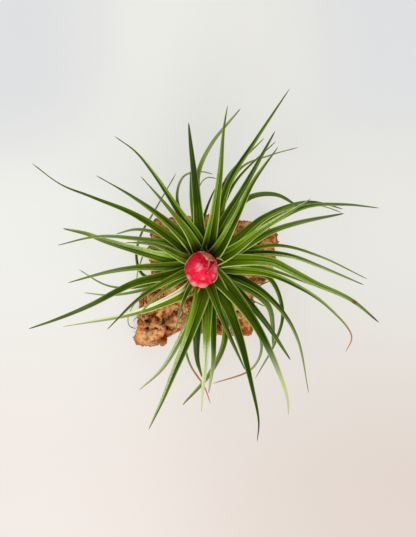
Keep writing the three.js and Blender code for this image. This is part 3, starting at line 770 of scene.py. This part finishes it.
stemValues = {
    "profile": [(24.6, 5.4), (26.3, 6.2), (30, 8.0), (36, 9.0), (42, 8.2), (50, 5.0)],
    "rows": 40,
    "sides": 72,
    "scaleRelief": 0.55,
    "brownThread": tint(78, 58, 36),
    "tanThread": tint(142, 116, 78),
    "greenRidge": tint(122, 128, 66),
    "grooveShade": tint(40, 30, 18),
}


# The swollen foot of the stem, under the leaves: two sets of spiral ridges cross on it, where old leaves sat.
def stemShell():
    rows, sides = stemValues["rows"], stemValues["sides"]
    line = smoothPath([Vector((radius, 0, z)) for z, radius in stemValues["profile"]], rows)[0]
    vertices, ridges = [], []
    for p in line:
        for k in range(sides):
            turn = k / sides * 2 * math.pi
            ridge = max(math.sin(8 * turn + 1.1 * p.z), math.sin(5 * turn - 1.1 * p.z))
            radius = p.x + stemValues["scaleRelief"] * ridge
            vertices.append(Vector((radius * math.cos(turn), radius * math.sin(turn), p.z)) * millimetre)
            ridges.append(0.5 + 0.5 * ridge)
    faces = ringFaces(rows, sides)
    faces += [tuple(range(sides))[::-1], tuple(range(rows * sides, (rows + 1) * sides))]
    return vertices, faces, ridges


# Dry, papery brown, greener on the ridges, with painted shade in the grooves.
def stemSkin():
    material, tree, shader = newMaterial("stemSkin", Roughness=0.7, Specular_IOR_Level=0.12)
    place = objectPlace(tree)
    ridge = attributeOf(tree, "ridge")
    upright = addNode(tree, "ShaderNodeMapping", {0: place, 3: (900.0, 900.0, 110.0)}).outputs[0]
    threads = noiseAt(tree, upright, 1.0, 3.0, 0.6)
    tan = stepBetween(tree, threads, 0.36, 0.64)
    colour = blendColour(tree, tan, stemValues["brownThread"], stemValues["tanThread"])
    green = stepBetween(tree, ridge, 0.5, 0.95, 0.0, 0.6)
    colour = blendColour(tree, green, colour, stemValues["greenRidge"])
    grooveShade = stepBetween(tree, ridge, 0.4, 0.1, 0.0, 0.7)
    colour = blendColour(tree, grooveShade, colour, stemValues["grooveShade"])
    tree.links.new(colour, shader.inputs["Base Color"])
    tree.links.new(bumpFrom(tree, threads, 0.5, 0.0003), shader.inputs["Normal"])
    return material


def makeStem():
    vertices, faces, ridges = stemShell()
    stem = meshObject("stem_bulb", vertices, faces, stemSkin())
    storeValues(stem, "ridge", ridges)
    outward(stem.data)
    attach(stem, "root")
    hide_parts("leaf_rosette")
    print("stem:", len(faces), "faces")


makeStem()


# flower head

headValues = {
    "foot": 54.3,
    "top": 77.3,
    "halfWidth": 9.8,
    "halfDepth": 10.8,
    "lean": (-2.2, -4.1),
    "bractThickness": 0.55,
    "rows": 22,
    "columns": 18,
    "pleats": 0.11,
    "crimson": tint(230, 0, 40),
    "hotPink": tint(255, 10, 72),
    "lightStreak": tint(255, 88, 112),
    "lightBlotch": tint(255, 100, 120),
    "darkBlotch": tint(158, 0, 18),
    "cream": tint(255, 202, 172),
    "greenBack": tint(150, 134, 84),
    "pinkHighlightAndPaleRim": tint(255, 184, 192),
    "peach": tint(255, 150, 120),
    "deepRed": tint(140, 0, 16),
    "rustyOrange": tint(214, 112, 44),
    "spotSquash": (1.0, 1.0, 0.35),
}

# what the skin reads at each point of a bract
bractLayers = ("edge", "cream", "green", "pink", "acrossBract", "alongBract", "bractSeed")


# A point of the egg-shaped head. turn and slope in degrees: the meridian, and the height on it from -90 at
# the foot to 90 at the crown and on down the far side. aside: degrees sideways from that meridian.
# off: distance off the egg.
def onHead(turn, slope, aside=0.0, off=0.0):
    turn, slope, aside = math.radians(turn), math.radians(slope), math.radians(aside)
    ahead = Vector((math.cos(turn) * math.cos(slope), math.sin(turn) * math.cos(slope), math.sin(slope)))
    sideways = Vector((-math.sin(turn), math.cos(turn), 0))
    way = ahead * math.cos(aside) + sideways * math.sin(aside)
    tall = (headValues["top"] - headValues["foot"]) / 2
    lean = min(1, 0.8 * (1 + way.z))
    return Vector((
        headValues["lean"][0] * lean + (headValues["halfWidth"] + off) * way.x,
        headValues["lean"][1] * lean + (headValues["halfDepth"] + off) * way.y,
        headValues["foot"] + tall + (tall + off) * way.z,
    ))


# Each bract: turn, foot and crown slopes, half spread, distance off the head, how far its lip stands out,
# cream of its tip and of its clockwise and anticlockwise margins, green of its back, pinkness, and how blunt
# it is.
def bractRow(turn, foot, crown, spread, off, lip, cream, green=0.0, pink=0.3, blunt=2.6):
    return dict(turn=turn, foot=foot, crown=crown, spread=spread, off=off, lip=lip, cream=cream, green=green,
                pink=pink, blunt=blunt)


bracts = [
    # the rim of outer bracts
    bractRow(236, -62, 2, 32, 0.45, 0.8, (0.9, 0.5, 0.8), 0.0, 0.5),
    bractRow(276, -62, -2, 34, 0.4, 0.9, (1.0, 0.8, 0.8), 0.0, 0.6),
    bractRow(322, -64, -12, 34, 1.1, 0.9, (1.0, 1.0, 0.6), 0.9, 0.1),
    bractRow(181, -64, -8, 26, 0.9, 0.9, (0.9, 0.6, 0.8), 0.9, 0.1),
    bractRow(30, -62, -6, 30, 0.3, 0.6, (0.4, 0.2, 0.2), 0.5, 0.2),
    bractRow(92, -62, 12, 22, 0.4, 1.3, (0.9, 0.3, 0.3), 0.8, 0.1),
    bractRow(140, -60, 20, 38, 0.95, 0.5, (1.0, 0.3, 0.9), 0.0, 0.5, 3.4),
    # the big ones that close over the crown
    bractRow(262, -56, 124, 62, 0.0, 0.1, (0.0, 0.0, 0.0), 0.0, 0.5, 3.4),
    bractRow(200, -54, 120, 44, 0.25, 0.1, (0.0, 0.1, 0.0), 0.0, 0.4, 3.2),
    bractRow(348, -54, 70, 46, 0.5, 0.35, (0.0, 0.12, 0.2), 0.0, 0.55, 3.2),
    bractRow(60, -48, 50, 30, 0.85, 1.5, (1.0, 0.2, 0.8), 0.0, 0.2, 4.2),
    bractRow(130, -44, 80, 62, 0.85, 0.15, (0.0, 0.0, 0.1), 0.0, 0.6, 3.0),
]


def bractShell(row, index):
    rows, columns = headValues["rows"], headValues["columns"]
    vertices, faces = [], []
    layers = {name: [] for name in bractLayers}
    chance = random.Random(index + 3)
    phase = chance.random() * 6.28
    for inner in (0, 1):
        for r in range(rows + 1):
            v = r / rows
            shape = (1 - v ** row["blunt"]) ** 0.62 * lerp(0.72, 1, min(1, v / 0.3))
            for c in range(columns + 1):
                u = c / columns * 2 - 1
                slope = lerp(row["foot"], row["crown"], v * (1 - 0.05 * u * u))
                stand = row["off"] + row["lip"] * v**4 + 0.25 * row["lip"] * u * u * v
                pleat = math.sin(u * 11 + phase) * (0.5 + 0.5 * math.sin(v * 9 + u * 3 + phase * 2))
                stand += headValues["pleats"] * pleat * math.sin(math.pi * min(1, v * 1.1))
                ragged = noise.noise(Vector((u * 2.4, v * 3, index * 5.0))) * 1.6
                rim = max(abs(u), v) ** 6
                stand -= inner * headValues["bractThickness"] * (1 - 0.75 * rim)
                p = onHead(row["turn"], slope + ragged * v, u * row["spread"] * shape, stand)
                vertices.append(p * millimetre)
                tipCream, clockwiseCream, anticlockwiseCream = row["cream"]
                cream = max(tipCream * v**3, (anticlockwiseCream if u > 0 else clockwiseCream) * abs(u)**2)
                values = (max(abs(u), v), cream, row["green"], row["pink"], u, v, (index * 0.37) % 1)
                for name, value in zip(bractLayers, values):
                    layers[name].append(value)
    wide = columns + 1
    count = (rows + 1) * wide
    for r in range(rows):
        for c in range(columns):
            a = r * wide + c
            faces.append((a, a + 1, a + wide + 1, a + wide))
            faces.append((count + a, count + a + wide, count + a + wide + 1, count + a + 1))
    rim = [c for c in range(columns)] + [r * wide + columns for r in range(rows)]
    rim += [rows * wide + c for c in range(columns, 0, -1)] + [r * wide for r in range(rows, 0, -1)]
    for i, a in enumerate(rim):
        b = rim[(i + 1) % len(rim)]
        faces.append((a, count + a, count + b, b))
    return vertices, faces, layers


def headCore():
    rows, sides = 18, 30
    vertices = []
    for r in range(1, rows):
        slope = lerp(-90, 90, r / rows)
        for i in range(sides):
            vertices.append(onHead(i / sides * 360, slope, 0, -0.5) * millimetre)
    faces = ringFaces(rows - 2, sides) + poleFaces((rows - 2) * sides, sides, len(vertices))
    vertices += [onHead(0, -90, 0, -0.5) * millimetre, onHead(0, 90, 0, -0.5) * millimetre]
    values = zip(bractLayers, (0.3, 0, 0, 0, 0, 0.5, 0))
    return vertices, faces, {name: [value] * len(vertices) for name, value in values}


# Narrow bracts of the stalk that show past the head, and the dry tip that hangs over its crown:
# the points they run through, half width, cream, green, pink.
headStraps = [
    ([(-6.4, -12.8, 60), (-7.6, -16.4, 61.5), (-8.6, -18.2, 60)], 0.45, 0.0, 0.4, 0.0),
    ([(-2.4, -13.8, 60), (-3.6, -16.6, 61.5), (-4.6, -19.2, 60)], 0.6, 0.0, 0.4, 0.0),
    ([(4.0, 5.2, 73.6), (3.4, 3.2, 76.6), (3.2, 1.0, 77.6), (3.0, -1.3, 77.4)], 0.62, 0.6, 1.5, 0.1),
    ([(8.0, 4.4, 64), (10.4, 4.2, 67), (13.2, 2.2, 67)], 0.75, 1.2, 1.6, 0.0),
    ([(-1.6, 6.0, 66), (-1.2, 8.2, 69), (-0.4, 9.0, 71)], 0.9, 1.0, 0.8, 0.0),
]


def strapShell(points, half, cream, green, pink, index):
    steps, sides = 12, 8
    line = smoothPath([Vector(p) for p in points], steps)[0]
    vertices = []
    for i, p in enumerate(line):
        ahead = (line[min(i + 1, steps)] - line[max(i - 1, 0)]).normalized()
        across = Vector((0, 0, 1)).cross(ahead).normalized()
        lift = ahead.cross(across)
        s = i / steps
        width = half * (0.6 + 0.4 * math.sin(math.pi * min(1, s * 1.4))) * (1 - s**3) + 0.12
        for k in range(sides):
            turn = k / sides * 2 * math.pi
            spot = p + across * math.cos(turn) * width
            spot += lift * (math.sin(turn) * width * 0.35)
            vertices.append(spot * millimetre)
    faces = ringFaces(steps, sides)
    faces += [tuple(range(sides))[::-1], tuple(range(steps * sides, (steps + 1) * sides))]
    values = zip(bractLayers, (0.75, cream, green, pink, 0.0, 0.0, index * 0.21))
    layers = {name: [value] * len(vertices) for name, value in values}
    layers["alongBract"] = [i // sides / steps for i in range(len(vertices))]
    return vertices, faces, layers


# soft spots on the bracts, pale pink for painted highlights and for the pale rim at the foot, deep red for
# painted shade beside the cap: place, radius, strength, colour; heights count for less than plan distances
headSpots = [
    ((3.4, 6.4, 72), 5.0, 1.0, "peach"), ((1.4, 2.2, 77), 2.2, 0.8, "deepRed"),
    ((4.8, -0.8, 76), 2.4, 0.7, "deepRed"), ((-3.3, -1.2, 78), 3.6, 0.5, "pinkHighlightAndPaleRim"),
    ((-3.2, -2.4, 78), 1.4, 0.5, "pinkHighlightAndPaleRim"), ((-10.4, -8.0, 68), 3.2, 1.0, "pinkHighlightAndPaleRim"),
    ((-6.2, -7.6, 73), 1.4, 0.7, "pinkHighlightAndPaleRim"), ((-0.6, -8.8, 74), 1.7, 0.75, "pinkHighlightAndPaleRim"),
    ((5.7, -7.2, 69), 2.4, 0.8, "pinkHighlightAndPaleRim"), ((-1.2, -13.8, 67), 4.0, 1.0, "pinkHighlightAndPaleRim"),
    ((-6.4, -12.4, 67), 3.6, 1.0, "pinkHighlightAndPaleRim"), ((2.8, -2.4, 77), 1.3, 0.6, "pinkHighlightAndPaleRim"),
    ((7.8, -3, 69), 3.0, 0.7, "pinkHighlightAndPaleRim"), ((-8.0, -17.4, 61), 6.0, 1.0, "rustyOrange"),
    ((-4.0, -17.6, 61), 6.0, 1.0, "rustyOrange"),
]


# Waxy crimson bracts: paler streaks along them, cream margins, greenish outer backs, a few soft spots of
# painted highlight and painted shade.
def bractSkin():
    material, tree, shader = newMaterial("bractSkin", Roughness=0.38, Specular_IOR_Level=0.22)
    place = objectPlace(tree)
    edge, cream, green, pink, across, along, seed = [attributeOf(tree, name) for name in bractLayers]
    streakPlace = addNode(tree, "ShaderNodeCombineXYZ", {0: maths(tree, "MULTIPLY", across, 9.0),
                                                         1: maths(tree, "MULTIPLY", along, 2.6),
                                                         2: maths(tree, "MULTIPLY", seed, 30.0)}).outputs[0]
    streaks = noiseAt(tree, streakPlace, 1.0, 4.0, 0.65, 0.4)
    blotches = noiseAt(tree, place, 330.0, 3.0, 0.6)
    pinker = stepBetween(tree, streaks, 0.36, 0.64)
    colour = blendColour(tree, pinker, headValues["crimson"], headValues["hotPink"])
    light = stepBetween(tree, maths(tree, "ADD", streaks, maths(tree, "MULTIPLY", pink, 0.1)), 0.6, 0.86)
    colour = blendColour(tree, maths(tree, "MULTIPLY", light, 0.6), colour, headValues["lightStreak"])
    lightBlotch = stepBetween(tree, blotches, 0.56, 0.74, 0.0, 0.4)
    colour = blendColour(tree, lightBlotch, colour, headValues["lightBlotch"])
    darkBlotch = stepBetween(tree, blotches, 0.46, 0.28, 0.0, 0.75)
    colour = blendColour(tree, darkBlotch, colour, headValues["darkBlotch"])
    spotSquash = headValues["spotSquash"]
    shallow = vectorMaths(tree, "MULTIPLY", {0: place, 1: spotSquash})
    for spot, size, strength, spotTint in headSpots:
        centre = tuple(value * squash * millimetre for value, squash in zip(spot, spotSquash))
        away = vectorMaths(tree, "DISTANCE", {0: shallow, 1: centre}, "Value")
        away = maths(tree, "ADD", away, maths(tree, "MULTIPLY", blotches, -0.7 * size * millimetre))
        near = stepBetween(tree, away, size * 0.7 * millimetre, -0.3 * size * millimetre, 0.0, strength)
        near = maths(tree, "MULTIPLY", near, stepBetween(tree, streaks, 0.36, 0.56, 0.4, 1.1))
        colour = blendColour(tree, near, colour, headValues[spotTint])
    rim = maths(tree, "MULTIPLY", stepBetween(tree, edge, 0.62, 0.93), cream)
    colour = blendColour(tree, rim, colour, headValues["cream"])
    back = maths(tree, "MULTIPLY", stepBetween(tree, edge, 0.98, 0.6, 0.3, 0.9), green, clampIt=True)
    colour = blendColour(tree, back, colour, headValues["greenBack"])
    tree.links.new(colour, shader.inputs["Base Color"])
    pleats = bumpFrom(tree, streaks, 0.5, 0.0006)
    tree.links.new(bumpFrom(tree, blotches, 0.3, 0.0005, pleats), shader.inputs["Normal"])
    return material


def makeHead():
    vertices, faces, layers = [], [], {}
    shells = [headCore()] + [bractShell(row, i) for i, row in enumerate(bracts)]
    shells += [strapShell(*strap, i) for i, strap in enumerate(headStraps)]
    for shellVertices, shellFaces, shellLayers in shells:
        first = len(vertices)
        vertices += shellVertices
        faces += [tuple(first + k for k in face) for face in shellFaces]
        for name, values in shellLayers.items():
            layers.setdefault(name, []).extend(values)
    head = meshObject("flower_bracts", vertices, faces, bractSkin())
    for name, values in layers.items():
        storeValues(head, name, values)
    outward(head.data)
    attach(head, "root")
    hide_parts("flower_head")
    print("flower head:", len(shells), "shells,", len(faces), "faces")


makeHead()


# cork bark

corkValues = {
    "sides": 440,
    "flankRings": 18,
    "topRings": 66,
    "top": 26.0,
    "seatRadius": 9.0,
    "middle": (-22, -8),
    "relief": 5.0,
    "highestPlate": 0.5,
    "fissureDepth": 6.0,
    "fissureWidth": 2.4,
    "rimCut": 0.45,
    "plateSpacing": 13,
    "lumpSize": 6.0,
    "lumpHeight": 2.0,
    "grainSize": 2.3,
    "grainHeight": 0.7,
    "topArea": 0.0075,
    "crumbs": 420,
    "crumbSize": 0.0009,
    "crumbSeed": 4,
    "brown": tint(166, 80, 32),
    "tan": tint(242, 162, 90),
    "lightFlake": tint(250, 206, 150),
    "darkFlake": tint(132, 60, 26),
    "lightGrain": tint(244, 184, 122),
    "darkGrain": tint(146, 72, 30),
    "speck": tint(98, 46, 18),
    "crown": tint(252, 206, 148),
    "darkLayer": tint(116, 50, 22),
    "lightLayer": tint(216, 128, 66),
    "brownShade": tint(84, 38, 16),
    "greenShade": tint(54, 52, 14),
}

# the edge, seen from above, anticlockwise from its east side
corkEdge = [
    47.5, 2.6, 46.8, 10.6, 50, 15, 49.8, 19.8, 47.5, 22.4, 40, 27.5, 30.4, 29, 15, 31, 2.6, 33, -12, 32.5,
    -23.8, 31.7, -32.3, 30.4, -36, 17.2, -35.6, 2.6, -35, -5.3, -40, -16, -43.6, -25.7, -44.2, -35.6,
    -44.6, -43.6, -47.2, -50, -44.6, -53.4, -34, -54.2, -26.5, -53.9, -24.7, -53.2, -24.4, -51.5,
    -24, -48.2, -22.4, -46.8, -19.9, -45.9, -14.3, -43.2, -4, -45, 7.3, -46.2, 18.5, -47.5, 32.3, -45.9,
    33, -42.2, 33, -32, 33.7, -21.8, 36.3, -13.2, 41.6, -11.2, 45, -4,
]

# crevices that show between the leaves: from, to, half width, depth
corkCrevices = [
    ((-42, -41.6), (-21, -42), 1.0, 2.0), ((-38.5, -36.8), (-30.2, -36.4), 1.1, 2.4),
    ((-29, -39.6), (-22, -41.4), 1.3, 2.2), ((-18.5, -31), (-17, -34), 1.1, 2.2),
    ((-25.6, -42.4), (-25.8, -46), 0.9, 2.0), ((-27.4, -33), (-26.4, -38), 1.0, 1.6),
    ((-43.6, -24), (-41.2, -27.6), 1.3, 2.4), ((30, -40), (29, -43.4), 1.2, 2.0),
    ((36, 0.4), (44, -1.6), 1.1, 2.4), ((33.6, -20), (31, -22.6), 1.2, 2.0),
    ((8, -35), (14, -41), 1.2, 2.2), ((14, -30), (16, -38), 1.1, 2.0),
    ((-42.5, -46), (-37, -49.5), 0.8, 1.5), ((-34, -44.5), (-31.5, -51), 0.7, 1.4),
    ((-41, -52), (-30, -50.5), 0.6, 1.1), ((-44, -30), (-43, -36), 1.2, 2.0),
]


# Plates of bark: the height and the nearness of a fissure at a plan position.
def barkPlates():
    chance = seededRandom(21)
    spacing = corkValues["plateSpacing"]
    plates = []
    for x in range(-60, 61, spacing):
        for y in range(-65, 46, spacing):
            place = Vector((x + (chance() - 0.5) * spacing, y + (chance() - 0.5) * spacing))
            height = (chance() - 0.75) * corkValues["relief"]
            plates.append((place, height, (chance() - 0.5) * 0.3, (chance() - 0.5) * 0.3))

    def at(x, y):
        here = Vector((x, y))
        (d0, plate), (d1, _) = nearestTwo(here, plates)
        fissure = max(0, 1 - (d1 - d0) / 2 / corkValues["fissureWidth"])
        tilt = (x - plate[0].x) * plate[2] + (y - plate[0].y) * plate[3]
        return plate[1] + tilt - corkValues["fissureDepth"] * fissure, fissure

    return at


def nearestTwo(here, plates):
    best = [(1e9, None), (1e9, None)]
    for plate in plates:
        d = (here - plate[0]).length
        if d < best[0][0]:
            best = [(d, plate), best[0]]
        elif d < best[1][0]:
            best[1] = (d, plate)
    return best


def creviceAt(x, y):
    deepest = 0.0
    here = Vector((x, y))
    for start, end, half, depth in corkCrevices:
        a, b = Vector(start), Vector(end)
        share = clamp((here - a).dot(b - a) / (b - a).length_squared)
        off = (here - a.lerp(b, share)).length + 0.7 * noise.noise(Vector((x, y, 3)) * 0.6)
        deepest = max(deepest, depth * (1 - smoothStep(off, half * 0.35, half * 1.25)))
    return deepest


# How far a cell's crown stands out: 1 in the middle of a lump, 0 in the crease between two.
def lumpAt(place, size, shift):
    distances, cells = noise.voronoi(place / size + Vector((shift, shift * 2, 0)))
    crease = clamp((distances[1] - distances[0]) * 2.2)
    return crease * (0.55 + 0.45 * noise.cell(cells[0] * 7.3))


def corkShape():
    sides = corkValues["sides"]
    edge = smoothPath(pairs(corkEdge), sides, closed=True)[0][:sides]
    middle = Vector(corkValues["middle"] + (0,))
    plateAt = barkPlates()
    flank = [(0, 0.9), (3, 0.965), (9, 1.0), (21, 0.99)]
    vertices, pits, lumps, flanks = [], [], [], []

    def addPoint(flat, z, outwards, flankShare, crevice):
        spot = Vector((flat.x, flat.y, z))
        lump = lumpAt(spot, corkValues["lumpSize"], 11)
        grain = lumpAt(spot, corkValues["grainSize"], 5)
        soft = noise.fractal(spot * 0.11, 1.0, 2.0, 4)
        strata = noise.noise(Vector((flat.x * 0.06, flat.y * 0.06, z * 0.75)))
        rise = (lump - 0.5) * corkValues["lumpHeight"] + (grain - 0.5) * corkValues["grainHeight"]
        rise += soft * 0.8
        rise -= max(0, -soft - 0.25) * 2.2
        spot += outwards * flankShare * (rise * 1.1 + strata * 1.3 - crevice * 0.45 - 0.5)
        spot.z += (1 - flankShare) * (rise - 0.3)
        if z < 0.4:
            spot.z = 0
        seen = placeFromAbove(spot.x, spot.y, spot.z)
        vertices.append(seen * millimetre)
        # pit marks crevices and the creases between lumps, for painted shade; lump is the height, for painted
        # light on the crowns
        pits.append(clamp(crevice * 0.27 + (0.26 - lump) * 1.2 + (0.2 - grain) * 0.8 - soft * 0.3 - 0.1))
        lumps.append(clamp(0.5 + rise * 0.35))
        flanks.append(flankShare)

    # The height of the top and how deep a crevice is there. Cuts are shallower at the rim.
    def topAt(x, y, share):
        height, fissure = plateAt(x, y)
        offSeat = smoothStep(math.hypot(x, y), corkValues["seatRadius"], 1.6 * corkValues["seatRadius"])
        inward = lerp(1, corkValues["rimCut"], smoothStep(share, 0.7, 0.93))
        cut = creviceAt(x, y) * inward
        height = lerp(corkValues["highestPlate"] - 2, height, inward)
        ledge = 3.5 * (1 - smoothStep(y + 0.04 * x, -43.5, -40)) * (1 if x < -14 else 0)
        level = corkValues["top"] + (min(height, corkValues["highestPlate"]) - cut - ledge) * offSeat
        return level, (fissure * 2.2 * inward + cut) * offSeat

    flankRings = corkValues["flankRings"]
    for ring in range(flankRings):
        for p in edge:
            rim, crevice = topAt(*(middle.lerp(p, 0.95).xy), 0.95)
            z = rim * ring / flankRings
            scaled = z * 26 / rim
            share = 0.94
            for (z0, s0), (z1, s1) in zip(flank, flank[1:] + [(26, 0.945)]):
                if z0 <= scaled <= z1:
                    share = lerp(s0, s1, (scaled - z0) / (z1 - z0))
            flat = middle.lerp(p, share)
            addPoint(flat, z, (p - middle).normalized(), 1 - 0.6 * smoothStep(scaled, 20, 26), crevice * 0.25)
    topRings = corkValues["topRings"]
    for ring in range(topRings, 0, -1):
        share = 0.945 * ring / topRings
        for p in edge:
            flat = middle.lerp(p, share)
            level, crevice = topAt(flat.x, flat.y, share)
            addPoint(flat, level, (p - middle).normalized(), 0.4 * smoothStep(share, 0.88, 0.945), crevice)
    rings = flankRings + topRings
    faces = ringFaces(rings - 1, sides) + poleFaces((rings - 1) * sides, sides, len(vertices))
    vertices.append(placeFromAbove(middle.x, middle.y, 0) * millimetre)
    vertices.append(placeFromAbove(middle.x, middle.y, corkValues["top"]) * millimetre)
    for values, below, above in ((pits, 0, 0), (lumps, 0.5, 0.5), (flanks, 1, 0)):
        values += [below, above]
    return vertices, faces, {"pit": pits, "lump": lumps, "flank": flanks}


# Crumbs of bark strewn over the slab and fused with it.
def crumbTree():
    tree = bpy.data.node_groups.new("barkCrumbs", "GeometryNodeTree")
    face = tree.interface
    face.new_socket("Slab", in_out="INPUT", socket_type="NodeSocketGeometry")
    face.new_socket("Density", in_out="INPUT", socket_type="NodeSocketFloat")
    face.new_socket("Crumb size", in_out="INPUT", socket_type="NodeSocketFloat")
    face.new_socket("Seed", in_out="INPUT", socket_type="NodeSocketInt")
    face.new_socket("Bark", in_out="INPUT", socket_type="NodeSocketMaterial")
    face.new_socket("Cork", in_out="OUTPUT", socket_type="NodeSocketGeometry")
    given = addNode(tree, "NodeGroupInput").outputs
    made = addNode(tree, "NodeGroupOutput")
    normal = addNode(tree, "GeometryNodeInputNormal").outputs[0]
    upward = addNode(tree, "ShaderNodeSeparateXYZ", {0: normal}).outputs[2]
    facesUp = addNode(tree, "FunctionNodeCompare", {0: upward, 1: 0.1}, data_type="FLOAT",
                      operation="GREATER_THAN").outputs[0]
    inputs = {"Mesh": given["Slab"], "Selection": facesUp,
              "Density": given["Density"], "Seed": given["Seed"]}
    spread = addNode(tree, "GeometryNodeDistributePointsOnFaces", inputs)
    stone = addNode(tree, "GeometryNodeMeshIcoSphere", {"Radius": 1.0, "Subdivisions": 2}).outputs[0]
    here = addNode(tree, "GeometryNodeInputPosition").outputs[0]
    rough = vectorMaths(tree, "SUBTRACT", {0: colourNoise(tree, here, 1.6), 1: (0.5, 0.5, 0.5)})
    rough = vectorMaths(tree, "SCALE", {0: rough, "Scale": 1.1})
    stone = addNode(tree, "GeometryNodeSetPosition", {"Geometry": stone, "Offset": rough}).outputs[0]

    def randomBetween(low, high):
        inputs = {"Min": low, "Max": high, "Seed": given["Seed"]}
        return addNode(tree, "FunctionNodeRandomValue", inputs, data_type="FLOAT_VECTOR").outputs[0]

    size = randomBetween((0.4, 0.4, 0.3), (1.5, 1.5, 0.9))
    size = vectorMaths(tree, "SCALE", {0: size, "Scale": given["Crumb size"]})
    turn = randomBetween((0, 0, 0), (0.6, 0.6, 6.28))
    turn = addNode(tree, "FunctionNodeEulerToRotation", {0: turn}).outputs[0]
    inputs = {"Points": spread.outputs[0], "Instance": stone, "Scale": size, "Rotation": turn}
    crumbs = addNode(tree, "GeometryNodeInstanceOnPoints", inputs).outputs[0]
    join = addNode(tree, "GeometryNodeJoinGeometry")
    tree.links.new(crumbs, join.inputs[0])
    tree.links.new(given["Slab"], join.inputs[0])
    cork = addNode(tree, "GeometryNodeRealizeInstances", {"Geometry": join.outputs[0]}).outputs[0]
    cork = addNode(tree, "GeometryNodeSetMaterial", {"Geometry": cork, "Material": given["Bark"]}).outputs[0]
    tree.links.new(cork, made.inputs["Cork"])
    return tree


# Crumbly bark: orange-tan lumps, lighter on their crowns as painted light, rust-brown flanks, crevices and
# creases darkened to green-black and brown as painted shade, layers that show on the edges.
def corkSkin():
    material, tree, shader = newMaterial("corkSkin", Roughness=0.93, Specular_IOR_Level=0.12)
    place = objectPlace(tree)
    pit, lump, flank = attributeOf(tree, "pit"), attributeOf(tree, "lump"), attributeOf(tree, "flank")
    broad = noiseAt(tree, place, 75.0, 3.0, 0.6, 0.6)
    fine = noiseAt(tree, place, 420.0, 4.0, 0.7)
    shift = colourNoise(tree, place, 260.0, 3.0)
    shifted = vectorMaths(tree, "MULTIPLY_ADD", {0: shift, 1: (0.004, 0.004, 0.004), 2: place})
    cells = addNode(tree, "ShaderNodeTexVoronoi", {"Vector": shifted, "Scale": 300.0, "Randomness": 1.0})
    cellTone = addNode(tree, "ShaderNodeSeparateColor", {0: cells.outputs["Color"]}).outputs[0]
    flakes = addNode(tree, "ShaderNodeTexVoronoi", {"Vector": shifted, "Scale": 150.0, "Randomness": 1.0})
    flakeTone = addNode(tree, "ShaderNodeSeparateColor", {0: flakes.outputs["Color"]}).outputs[1]
    colour = blendColour(tree, stepBetween(tree, broad, 0.38, 0.6), corkValues["brown"], corkValues["tan"])
    # flakes, grain and specks are the bark's own; crown is painted light on the raised lumps
    for pattern, low, high, most, tone in (
        (flakeTone, 0.55, 0.95, 0.8, "lightFlake"), (flakeTone, 0.4, 0.1, 0.75, "darkFlake"),
        (cellTone, 0.4, 0.9, 0.5, "lightGrain"), (cellTone, 0.3, 0.05, 0.5, "darkGrain"),
        (fine, 0.46, 0.34, 0.85, "speck"), (lump, 0.55, 0.9, 0.6, "crown"),
    ):
        share = stepBetween(tree, pattern, low, high, 0.0, most)
        colour = blendColour(tree, share, colour, corkValues[tone])
    # layers on the flank
    layerPlace = addNode(tree, "ShaderNodeMapping", {0: place, 3: (14.0, 14.0, 330.0)}).outputs[0]
    layers = noiseAt(tree, layerPlace, 1.6, 3.0, 0.6)
    lighter = stepBetween(tree, layers, 0.4, 0.62)
    rust = blendColour(tree, lighter, corkValues["darkLayer"], corkValues["lightLayer"])
    colour = blendColour(tree, maths(tree, "MULTIPLY", flank, 0.7), colour, rust)
    # painted shade in the crevices and creases
    dark = stepBetween(tree, pit, 0.42, 0.95, 0.0, 0.85)
    greener = stepBetween(tree, broad, 0.4, 0.6)
    shade = blendColour(tree, greener, corkValues["brownShade"], corkValues["greenShade"])
    colour = blendColour(tree, dark, colour, shade)
    tree.links.new(colour, shader.inputs["Base Color"])
    coarse = bumpFrom(tree, cells.outputs["Distance"], 0.5, 0.0006)
    tree.links.new(bumpFrom(tree, fine, 0.9, 0.0007, coarse), shader.inputs["Normal"])
    return material


def makeCork():
    vertices, faces, layers = corkShape()
    carrier = meshObject("corkSlab", vertices, faces)
    for name, values in layers.items():
        storeValues(carrier, name, values)
    values = {
        "Density": corkValues["crumbs"] / corkValues["topArea"],
        "Crumb size": corkValues["crumbSize"],
        "Seed": corkValues["crumbSeed"],
        "Bark": corkSkin(),
    }
    cork = bakeNodes(carrier, "cork_slab", crumbTree(), values)
    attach(cork, "root")
    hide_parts("cork_bark")
    print("cork:", len(cork.data.polygons), "faces")


makeCork()
